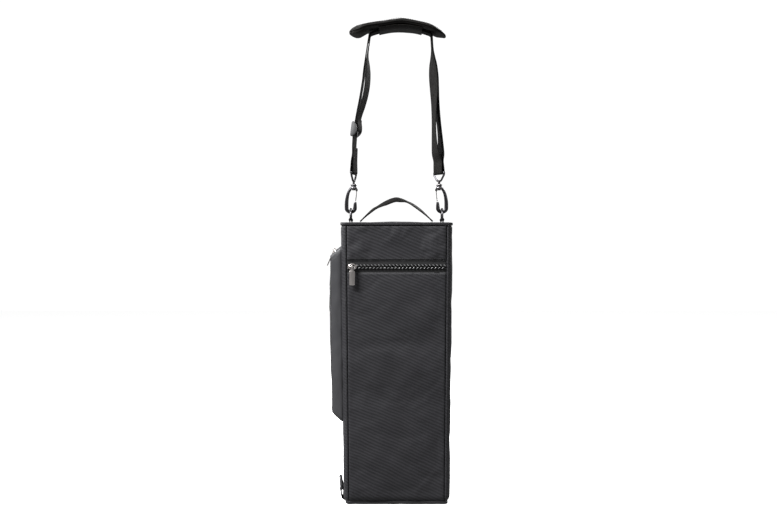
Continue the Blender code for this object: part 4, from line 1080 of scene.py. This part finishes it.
tab += [(x - 1.2, 12.5), (x - 0.6, 8.0), (x + 0.9, 4.4), (x + 4.0, 2.7), (x + 8.5, 2.6)]
rows = [(a * MM, low_joint.y, b * MM, 0, 1, 0, WEB_HALF * (0.82 + 0.18 * min(1, (b - 3) / 12)), 0.0)
        for a, b in tab]
sewn(webbing("lower_tab_webbing", rows, WEB_THICK, M["webbing"], 0.8 * MM), "root", "webbing",
     "lower_ring_tab")


# Handle: a band of webbing over the top, curled lengthwise at the grip

handle_low, handle_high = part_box("handle_webbing")
rows = []
for t in np.linspace(-1, 1, 31):
    rise = (handle_high.z - 0.6 * MM - handle_low.z) * (1 - abs(t) ** 1.55)
    grip = math.exp(-((t + 0.12) / 0.36) ** 4)
    twist = 0.30 * math.sin(math.pi * t) * (1 - grip)
    half = min(9.6 * MM, 5.3 * MM + 0.26 * rise)
    rows.append((handle_high.x * t, 0.5 * MM * math.sin(5 * t), handle_low.z + 0.8 * MM + rise, twist, 1, 0,
                 half, 1e-3 + 150 * grip))
handle = webbing("handle_loop", rows, 1.0 * MM, M["webbing"], 1.5 * MM)
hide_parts("handle_webbing")
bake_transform(handle)


# Snap hooks

EYE_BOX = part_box("hook_right_eye")
HOOK_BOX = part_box("hook_right_body")
SWIVEL_X = joints["hook_right_swivel"]["pos_m"][0]
HOOK_TOP = HOOK_BOX[1].z
EYE_Z = EYE_BOX[1].z - 1.5 * MM
TWIST = {-1: math.radians(15), 1: math.radians(35)}
HOOK_OFFSET = RING_X - SWIVEL_X
COLLAR_Z = (HOOK_TOP - 7.3 * MM, HOOK_TOP - 0.1 * MM)
CROOK_R = 5.4 * MM
CROOK_Z = HOOK_BOX[0].z + 2.1 * MM + CROOK_R
GATE_X, GATE_Z = joints["gate_right_open"]["pos_m"][0] - SWIVEL_X, joints["gate_right_open"]["pos_m"][2]


def turned_piece(name, at, profile, material, flutes=0, steps=40):
    """A solid turned about an upright axis, with flutes if asked."""
    profile = np.asarray(profile, float)
    angles = np.linspace(0, math.tau, steps, endpoint=False)
    ripple = 1 + (0.05 * np.cos(flutes * angles) if flutes else 0 * angles)
    points = np.stack([np.stack([at[0] + profile[:, 0] * math.cos(a) * r,
                                 at[1] + profile[:, 0] * math.sin(a) * r,
                                 profile[:, 1]], axis=1) for a, r in zip(angles, ripple)])
    faces, corners = grid_faces(steps, len(profile), True, False)
    uvs = [(a * 0.5 * MM, b * MM) for a, b in corners]
    return make_object(name, points.reshape(-1, 3), [f[::-1] for f in faces], uvs, material, 45)


def snap_hook(side, sign):
    at = (sign * SWIVEL_X, 0)
    bore, wall = 2.15 * MM, 4.4 * MM
    low, high = COLLAR_Z
    collar = [(bore, high - 0.3 * MM), (bore + 0.4 * MM, high), (wall - 0.9 * MM, high),
              (wall - 0.2 * MM, high - 0.6 * MM),
              (wall, high - 1.5 * MM), (wall - 0.9 * MM, high - 2.5 * MM), (wall - 0.9 * MM, high - 4.2 * MM),
              (wall, high - 5.2 * MM), (wall, low + 0.6 * MM), (wall - 0.5 * MM, low), (bore, low),
              (bore, high - 0.3 * MM)]
    parts = [turned_piece("collar", at, collar, M["dark_metal"], 14, 56)]
    # the spine's places are (sideways, down from the hook's top, half thickness)
    spine = [(3.4, 5.3, 1.9), (5.0, 7.7, 2.0), (7.0, 11.0, 2.1), (8.7, 16.0, 2.3), (9.8, 22.0, 2.6),
             (10.3, 27.5, 2.8)]
    spine = [(a * MM, HOOK_TOP - b * MM, c * MM) for a, b, c in spine]
    bend = []
    for t in np.linspace(-0.15, -math.pi + 0.1, 9):
        reach = CROOK_R + 0.85 * MM - 0.3 * MM * max(0.0, -math.cos(t))
        slim = 0.80 * MM * max(0.0, -math.sin(t)) ** 4
        bend.append((HOOK_OFFSET + reach * math.cos(t), CROOK_Z + reach * math.sin(t) - 0.45 * slim,
                     2.85 * MM - slim))
    nose = [(-2.1 * MM, HOOK_TOP - 28.9 * MM, 2.3 * MM), (-2.5 * MM, HOOK_TOP - 26.1 * MM, 1.7 * MM)]
    path = spline([(at[0] + sign * a, 0, b, c) for a, b, c in spine + bend + nose], 0.8 * MM)
    sections = [circle(min(row[3], 2.2 * MM), 16) * (1, row[3] / min(row[3], 2.2 * MM)) for row in path]
    parts.append(sweep("spine", path[:, :3], (0, 1, 0), sections, M["dark_metal"]))
    gate_x = at[0] + sign * GATE_X
    for face in (-1, 1):
        ear = sweep("ear", [(gate_x, face * y, GATE_Z) for y in (1.75 * MM, 2.2 * MM, 2.8 * MM)],
                    (1, 0, 0), rounded_bar(1.5 * MM, 1.9 * MM, 1.0 * MM), M["dark_metal"])
        rivet = sweep("rivet", [(gate_x, face * y, GATE_Z) for y in (2.7 * MM, 3.0 * MM, 3.2 * MM)],
                      (1, 0, 0), circle(0.8 * MM, 12), M["steel"])
        parts += [ear, rivet]
    sewn(join(f"hook_{side}_metal", parts), f"hook_{side}", "dark_metal", f"hook_{side}_body")

    gate_path = spline([(gate_x, 0, GATE_Z + 0.6 * MM),
                        (at[0] + sign * (GATE_X + 0.15 * MM), 0, HOOK_TOP - 13.5 * MM),
                        (at[0] + sign * (GATE_X + 0.8 * MM), 0, HOOK_TOP - 19.5 * MM),
                        (at[0] - sign * 2.75 * MM, 0, HOOK_TOP - 25.1 * MM)], 0.8 * MM)
    gate = sweep(f"gate_{side}_steel", gate_path, (0, 1, 0), rounded_bar(1.15 * MM, 0.62 * MM, 0.5 * MM),
                 M["steel"])
    sewn(gate, f"gate_{side}", "steel", f"hook_{side}_gate")

    across = np.array((-sign * math.sin(TWIST[sign]), math.cos(TWIST[sign]), 0))
    low_z = EYE_Z - 12 * MM
    outline = [(11.5, EYE_Z), (11.7, EYE_Z - 1.8 * MM), (11.2, EYE_Z - 3.8 * MM), (7.6, low_z + 3.9 * MM),
               (4.4, low_z + 0.5 * MM), (1.5, low_z)]
    outline = outline + [(-a, b) for a, b in outline[::-1]] + [(-6.0, EYE_Z), (0.0, EYE_Z), (6.0, EYE_Z)]
    loop = [(*(np.array((*at, 0)) + across * a * MM)[:2], b) for a, b in outline]
    loop = spline(loop, 0.8 * MM, closed=True)
    plane = np.cross(across, (0, 0, 1.0))
    frame_loop = sweep("loop", loop, plane, circle(1.5 * MM, 12), M["dark_metal"], closed=True)
    stem = [(0.1 * MM, low_z + 0.4 * MM), (1.7 * MM, low_z), (1.7 * MM, low), (2.5 * MM, low - 0.3 * MM),
            (2.6 * MM, low - 1.2 * MM), (2.3 * MM, low - 1.8 * MM), (0.1 * MM, low - 2.0 * MM)]
    stem = turned_piece("stem", at, stem, M["dark_metal"], 0, 24)
    sewn(join(f"hook_{side}_swivel_metal", [frame_loop, stem]), "strap", "dark_metal", f"hook_{side}_eye")


snap_hook("left", -1)
snap_hook("right", 1)


# Shoulder strap: one length of webbing through the pad and both hooks

PAD_HINGE = Vector(joints["pad_slide"]["pos_m"])
STRAP_R = 121.4 * MM
BEND_R = 5 * MM
BEND_AT = math.radians(20.5)
PLY = 0.9 * MM
TWIST_LOW, TWIST_HIGH = 0.615, 0.655
SPREAD = 7.4 * MM
SPREAD_Z = (0.486, 0.600)
RETURN_BOW = 6.0 * MM
LOOP_TURN = 0.36
RETURN_BOW_Z = (0.550, 0.643)
LEFT_TURN = 0.17
LEFT_TURN_Z = (0.530, 0.660)
INNER_PLY_END_Z = 0.6580
RETURN_START_Z = 0.6555
KINK = (-60.4 * MM, 0.518)
ADJUSTER_LOW, ADJUSTER_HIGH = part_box("adjuster")
ADJUSTER_Z = (ADJUSTER_LOW.z + ADJUSTER_HIGH.z) / 2


def strap_line(sign):
    middle = BEND_R - 0.85 * MM
    top_point = (PAD_HINGE.x + sign * ((STRAP_R - BEND_R) * math.sin(BEND_AT) + middle),
                 PAD_HINGE.z + (STRAP_R - BEND_R) * math.cos(BEND_AT))
    low_point = (sign * SWIVEL_X, EYE_Z)
    line = [top_point, low_point] if sign > 0 else [top_point, KINK, low_point]
    return np.array(line)[::-1]


def hanging(sign, out, z, extra=0.0):
    """A row of the hanging strap, `out` outwards from its middle and turned by `extra` more."""
    line = strap_line(sign)
    share = min(max((TWIST_HIGH - z) / (TWIST_HIGH - TWIST_LOW), 0.0), 1.0)
    turn = TWIST[sign] * share * share * (3 - 2 * share)
    x = np.interp(z, line[:, 1], line[:, 0]) + sign * out * math.cos(turn)
    across = (-sign * math.sin(turn + extra), math.cos(turn + extra), 0)
    return (x, out * math.sin(turn), z, *across, WEB_HALF, 0.0)


def hump(z, span):
    """From 0 at both ends of a span of heights to 1 in its middle."""
    share = min(max((z - span[0]) / (span[1] - span[0]), 0.0), 1.0)
    return math.sin(math.pi * share)


def ply_out(z):
    """How far the right side's plies stand from the strap's middle: their loop hangs open."""
    low, high = SPREAD_Z
    share = min(max((high - z) / (high - low), 0.0), 1.0)
    return PLY + SPREAD * share * hump(z, SPREAD_Z) ** 0.5


def through_pad(drop, start_sign):
    """The ply inside the pad, from one bend to the other."""
    rows = []
    down = {-1: math.radians(80.7), 1: math.radians(86.8)}
    for sign in (start_sign, -start_sign):
        at = (PAD_HINGE.x + sign * (STRAP_R - BEND_R) * math.sin(BEND_AT),
              PAD_HINGE.z + (STRAP_R - BEND_R) * math.cos(BEND_AT))
        angles = np.linspace(math.pi / 2 - sign * down[sign], math.pi / 2 - sign * BEND_AT, 5)
        bend = [(at[0] + (BEND_R - drop) * math.cos(a), at[1] + (BEND_R - drop) * math.sin(a))
                for a in angles]
        if sign == start_sign:
            rows += bend
            arch = STRAP_R - drop
            for a in np.linspace(math.pi / 2 - sign * BEND_AT, math.pi / 2 + sign * BEND_AT, 12)[1:-1]:
                rows.append((PAD_HINGE.x + arch * math.cos(a), PAD_HINGE.z + arch * math.sin(a)))
        else:
            rows += bend[::-1]
    return [(x, 0, z, 0, 1, 0, WEB_HALF, 0.0) for x, z in rows]


def eye_turn(sign, inwards):
    neck = [(1.6 * MM, 0.4900), (1.9 * MM, 0.4830), (2.2 * MM, 0.4780)]
    turns = np.radians(np.linspace(20, -200, 9))
    loop = [(2.5 * MM * math.cos(t), EYE_Z + 2.5 * MM * math.sin(t)) for t in turns]
    path = neck + loop + [(-out, z) for out, z in reversed(neck)]
    return [hanging(sign, out, z) for out, z in (path if inwards else path[::-1])]


right_z = [0.652, 0.640, 0.628, 0.612, 0.595, 0.578, 0.560, 0.542, 0.526, 0.512, 0.500]
left_z = [0.500, 0.512, 0.530, 0.555, 0.580, 0.605, 0.620, 0.635, 0.648]
rows = [hanging(-1, -1.5 * MM, z) for z in (0.509, 0.499)]
rows += eye_turn(-1, False)
rows += [hanging(-1, PLY + 0.7 * MM * math.sin(60 * z), z, -LEFT_TURN * hump(z, LEFT_TURN_Z))
         for z in left_z]
rows += through_pad(0.0, -1)
rows += [hanging(1, ply_out(z), z, -LOOP_TURN * hump(z, SPREAD_Z)) for z in right_z]
rows += eye_turn(1, True)
rows += [hanging(1, -ply_out(z), z, -LOOP_TURN * hump(z, SPREAD_Z)) for z in right_z[::-1]]
rows += through_pad(1.7 * MM, 1)
rows.append(hanging(-1, -PLY, INNER_PLY_END_Z))
strap = webbing("strap_band", rows, WEB_THICK, M["webbing"], 1.6 * MM)

# The sewn end above the left hook
fold_lines = []
for z in (0.4935, 0.5055):
    across = np.linspace(-8.4 * MM, 8.4 * MM, 12)
    row = hanging(-1, -2.25 * MM, z)
    direction = np.array(row[3:6])
    line = np.array(row[:3]) + across[:, None] * direction
    fold_lines.append(stitches("fold", line, np.tile(np.cross(direction, (0, 0, 1)), (12, 1)), M["thread"],
                               2.2 * MM, 1.7 * MM, 0.22 * MM))
sewn(join("strap_loop_webbing", [strap] + fold_lines), "strap", "webbing", "strap_webbing")

lean = (KINK[0] - strap_line(-1)[2][0]) / (KINK[1] - strap_line(-1)[2][1])
bar_z = ADJUSTER_Z - 3.2 * MM * math.cos(TWIST[-1]) * lean
rows = [hanging(-1, -PLY, RETURN_START_Z), hanging(-1, -PLY, 0.648)]
for z in (0.640, 0.628, 0.615, 0.600, 0.585, 0.570, 0.556):
    bow = hump(z, RETURN_BOW_Z)
    rows.append(hanging(-1, -PLY - RETURN_BOW * bow, z, 0.10 * bow))
rows += [hanging(-1, -1.0 * MM, bar_z + 10 * MM), hanging(-1, -1.2 * MM, bar_z + 5 * MM)]
for t in np.radians(np.linspace(0, -180, 8)):
    rows.append(hanging(-1, -3.2 * MM + 2.1 * MM * math.cos(t), bar_z + 2.1 * MM * math.sin(t)))
rows += [hanging(-1, -4.7 * MM, bar_z + 5 * MM), hanging(-1, -3.2 * MM, bar_z + 11 * MM),
         hanging(-1, -2.9 * MM, bar_z + 15 * MM)]
ply = webbing("strap_return_webbing", rows, WEB_THICK, M["webbing"], 1.2 * MM)
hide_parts("strap_return_ply")
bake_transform(ply)

# Adjuster: a moulded slide with rounded bars
line = strap_line(-1)
up = unit(line[2] - line[1])
up = np.array((up[0], 0, up[1]))
across = np.array((math.sin(TWIST[-1]), math.cos(TWIST[-1]), 0))
inward = unit(np.cross(across, up))
upright = np.cross(inward, across)
centre = np.array((np.interp(ADJUSTER_Z, line[:, 1], line[:, 0]), 0, ADJUSTER_Z))


def slide_point(a, b, c):
    return centre + inward * a * MM + across * b * MM + upright * c * MM


parts = []
for c in (-9.4, 9.4):
    bar_path = [slide_point(-2.6 + 0.25 * math.cos(b / 5), b, c) for b in np.linspace(-12.5, 12.5, 13)]
    parts.append(sweep("bar", bar_path, upright, rounded_bar(1.25 * MM, 0.9 * MM, 0.7 * MM), M["slide"]))
# each cheek is a flat lozenge, seen from the front as the slide's pale edge
cheek = np.array([(-3.6, -10.6), (-1.6, -10.6), (2.0, -7.2), (4.4, -2.6), (4.4, 2.6), (2.0, 7.2),
                  (-1.6, 10.6), (-3.6, 10.6), (-4.4, 8.0), (-4.4, -8.0)]) * MM
cheek = spline(np.column_stack([cheek, 0 * cheek[:, 0]]), 0.9 * MM, closed=True)[:, :2]
for b in (-12.5, 12.5):
    layers = [(-1.1, 0.90), (-0.85, 0.98), (0.0, 1.0), (0.85, 0.98), (1.1, 0.90)]
    parts.append(sweep("cheek", [slide_point(0, b + shift, 0) for shift, size in layers], inward,
                       [cheek * size * (1, -1) for shift, size in layers], M["slide"]))
parts.append(sweep("bar", [slide_point(3.2, b, 0) for b in np.linspace(-12.4, 12.4, 9)], upright,
                   circle(0.95 * MM, 12), M["slide"]))
sewn(join("adjuster_plastic", parts), "adjuster", "plastic", "adjuster")


# Shoulder pad

PAD_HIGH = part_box("pad_cover")[1]
PAD_HALF = PAD_HIGH.y
PAD_TOP_R = PAD_HIGH.z - PAD_HINGE.z
PAD_START, PAD_END = math.radians(-33), math.radians(31)
UNDER_R = 122.9 * MM
ROUND_END = 9 * MM
POINTED_END = 26 * MM


def pad_place(angle, radius):
    return (PAD_HINGE.x + radius * math.sin(angle), 0, PAD_HINGE.z + radius * math.cos(angle))


def pad_sections(count=72, steps=44):
    """Crowned sections with pulled-in edges, round at the left end and pointed at the right one."""
    centres, loops = [], []
    for k in range(count):
        share = k / (count - 1)
        angle = PAD_START + (PAD_END - PAD_START) * share
        from_left = share * (PAD_END - PAD_START) * STRAP_R
        from_right = (1 - share) * (PAD_END - PAD_START) * STRAP_R
        round_left = math.sqrt(max(0.0, 1 - max(0.0, 1 - from_left / ROUND_END) ** 2))
        point_right = min(1.0, (from_right / POINTED_END) ** 0.62)
        width_left = math.sqrt(max(0.0, 1 - max(0.0, 1 - from_left / (20 * MM)) ** 2))
        width_right = math.sqrt(max(0.0, 1 - max(0.0, 1 - from_right / (24 * MM)) ** 2))
        thick = 0.5 * (PAD_TOP_R - UNDER_R) * max(0.16, min(round_left, point_right))
        waist = 1 - 0.10 * math.sin(math.pi * share) ** 2
        width = PAD_HALF * max(0.30, min(width_left, width_right)) * waist
        degrees = math.degrees(angle)
        left_end = min(1.0, max(0.0, (-22.5 - degrees) / 5.0)) * (1 - max(0.0, 1 - from_left / ROUND_END))
        right_end = min(1.0, max(0.0, (degrees - 22.5) / 3.0)) * point_right ** 2
        fuller = 0.5 * MM * (4.2 * left_end + 3.0 * right_end)
        thick += fuller
        lift = 9.5 * MM * max(0.0, (-10 - degrees) / 23) ** 1.5
        peak = 1.4 * MM * math.exp(-(degrees / 6) ** 2)
        middle = 0.5 * (PAD_TOP_R + UNDER_R) - 0.5 * MM + peak + lift - fuller
        centres.append(pad_place(angle, middle))
        loop = []
        for j in range(steps):
            turn = math.tau * j / steps
            c, s = math.cos(turn), math.sin(turn)
            wide = width * math.copysign(abs(c) ** 0.55, c)
            power = 0.62 if s > 0 else 0.34
            tall = thick * (1.06 if s > 0 else 1.0) * math.copysign(abs(s) ** power, s)
            crease = noise.noise(Vector((share * 9, wide * 60, s * 2 + 4.0))) * 0.5 * MM
            fold = 0.35 * MM * math.sin(46 * share + wide * 90) * abs(c) ** 3
            loop.append((wide, tall + (crease + fold) * (1 if s > 0 else 0.15)))
        loops.append(loop)
    return np.array(centres), np.array(loops)


pad_centres, pad_loops = pad_sections()
pad_body = sweep("pad_body_leather", pad_centres, (0, 1, 0), pad_loops * (-1, 1), M["pad"])
sewn(pad_body, "pad", "pad", "pad_cover", "pad_foam", "pad_lining")
edge = [pad_centres[k] + np.array((0, sign * (abs(pad_loops[k][0][0]) + 0.25 * MM), 0))
        for sign, order in ((1, range(1, 71)), (-1, range(70, 0, -1))) for k in order]
tangent = unit(np.gradient(np.array(edge), axis=0))
piping_across = np.cross(tangent, (0, 1, 0)) + np.array((0, 0.01, 0))
piping = sweep("pad_edge_piping", edge, piping_across, circle(1.05 * MM, 10), M["webbing"], closed=True)
sewn(piping, "pad", "pad")
top_line, top_normals = [], []
for sign, order in ((1, range(6, 68)), (-1, range(67, 5, -1))):
    for k in order:
        loop = pad_loops[k]
        j = int(np.argmin(np.abs(loop[:22, 0] - sign * (abs(loop[0][0]) - 4.2 * MM))))
        radial = unit(pad_centres[k] - np.array(PAD_HINGE))
        top_line.append(pad_centres[k] + np.array((0, loop[j][0], 0)) + radial * (loop[j][1] + 0.05 * MM))
        top_normals.append(radial)
top_line.append(top_line[0])
top_normals.append(top_normals[0])
sewn(stitches("pad_stitches", top_line, top_normals, M["thread"], 3.4 * MM, 2.5 * MM, 0.3 * MM), "pad", "pad")

SLEEVE_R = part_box("pad_sleeve")[1].z - PAD_HINGE.z
angles = np.linspace(math.radians(-15.0), math.radians(15.0), 38)
widths = np.linspace(-20.5 * MM, 20.5 * MM, 27)
grid_a, grid_w = np.meshgrid(angles, widths, indexing="ij")
edge_share = np.clip((np.abs(grid_w) - 11 * MM) / (9.5 * MM), 0, 1)
sleeve_r = SLEEVE_R - 0.4 * MM + (UNDER_R - SLEEVE_R + 0.2 * MM) * edge_share ** 1.6
sleeve_r = sleeve_r + fold_noise(grid_a * STRAP_R, grid_w, 0.3, 12 * MM, 20 * MM, 5.5) * 0.3 * MM
sleeve_points = np.stack([PAD_HINGE.x + sleeve_r * np.sin(grid_a), grid_w,
                          PAD_HINGE.z + sleeve_r * np.cos(grid_a)], axis=-1)
sewn(sheet("pad_sleeve_leather", sleeve_points, angles * STRAP_R, widths, M["pad"], 0.8 * MM), "pad", "pad",
     "pad_sleeve")


# Stage: a pale floor, soft lights and the camera

def soft_light(name, at, target, size, power):
    data = bpy.data.lights.new(name, "AREA")
    data.shape = "RECTANGLE"
    data.size, data.size_y = size
    data.energy = power
    light = bpy.data.objects.new(name, data)
    light.location = at
    light.rotation_euler = (Vector(target) - Vector(at)).to_track_quat("-Z", "Y").to_euler()
    bpy.context.scene.collection.objects.link(light)


def make_stage():
    material, tree, shader = surface("floor_paper")
    grain = noise_texture(tree, node(tree, "TexCoord").outputs["Object"], 40.0, 3.0)
    paper = mixed(tree, grain, (0.86, 0.86, 0.86), (0.90, 0.90, 0.90))
    tree.links.new(paper, shader.inputs["Emission Color"])
    floor_seen = node(tree, "LightPath").outputs["Is Camera Ray"]
    tree.links.new(mixed(tree, floor_seen, (0.20, 0.20, 0.20), paper), shader.inputs["Base Color"])
    tree.links.new(level(tree, floor_seen, 0.0, 0.9), shader.inputs["Emission Strength"])
    shader.inputs["Roughness"].default_value = 0.9
    reach = 6.0
    corners = [(-reach, -reach, 0), (reach, -reach, 0), (reach, reach, 0), (-reach, reach, 0)]
    floor = make_object("floor", corners, [(0, 1, 2, 3)], None, material)
    floor.location.z = -0.2 * MM
    bpy.context.scene.view_settings.view_transform = "Standard"
    world = bpy.data.worlds.new("studio")
    bpy.context.scene.world = world
    world.use_nodes = True
    background = world.node_tree.nodes["Background"]
    background.inputs["Color"].default_value = (1.0, 1.0, 1.0, 1.0)
    seen = node(world.node_tree, "LightPath").outputs["Is Camera Ray"]
    world.node_tree.links.new(level(world.node_tree, seen, 0.18, 1.05), background.inputs["Strength"])
    middle = (0, 0, cad_high.z / 2)
    above = (0, 0, 0.42)
    soft_light("key", (-1.1, -0.75, 1.75), above, (0.6, 0.6), 140.0)
    soft_light("fill", (1.5, -0.8, 1.1), above, (0.6, 1.0), 12.0)
    soft_light("back", (1.0, 1.1, 1.6), above, (0.9, 0.9), 52.0)
    soft_light("rim", (-1.4, 0.8, 0.8), middle, (0.6, 1.2), 16.0)
    camera_data = bpy.data.cameras.new("camera")
    camera_data.sensor_width = 36.0
    distance = 1.6
    seen_width = 1.12609
    camera_data.lens = distance / seen_width * camera_data.sensor_width
    camera = bpy.data.objects.new("camera", camera_data)
    camera.location = ((cad_low.x + cad_high.x) / 2, -distance, cad_high.z / 2)
    camera.rotation_euler = (math.radians(90), 0, 0)
    bpy.context.scene.collection.objects.link(camera)
    bpy.context.scene.camera = camera


make_stage()
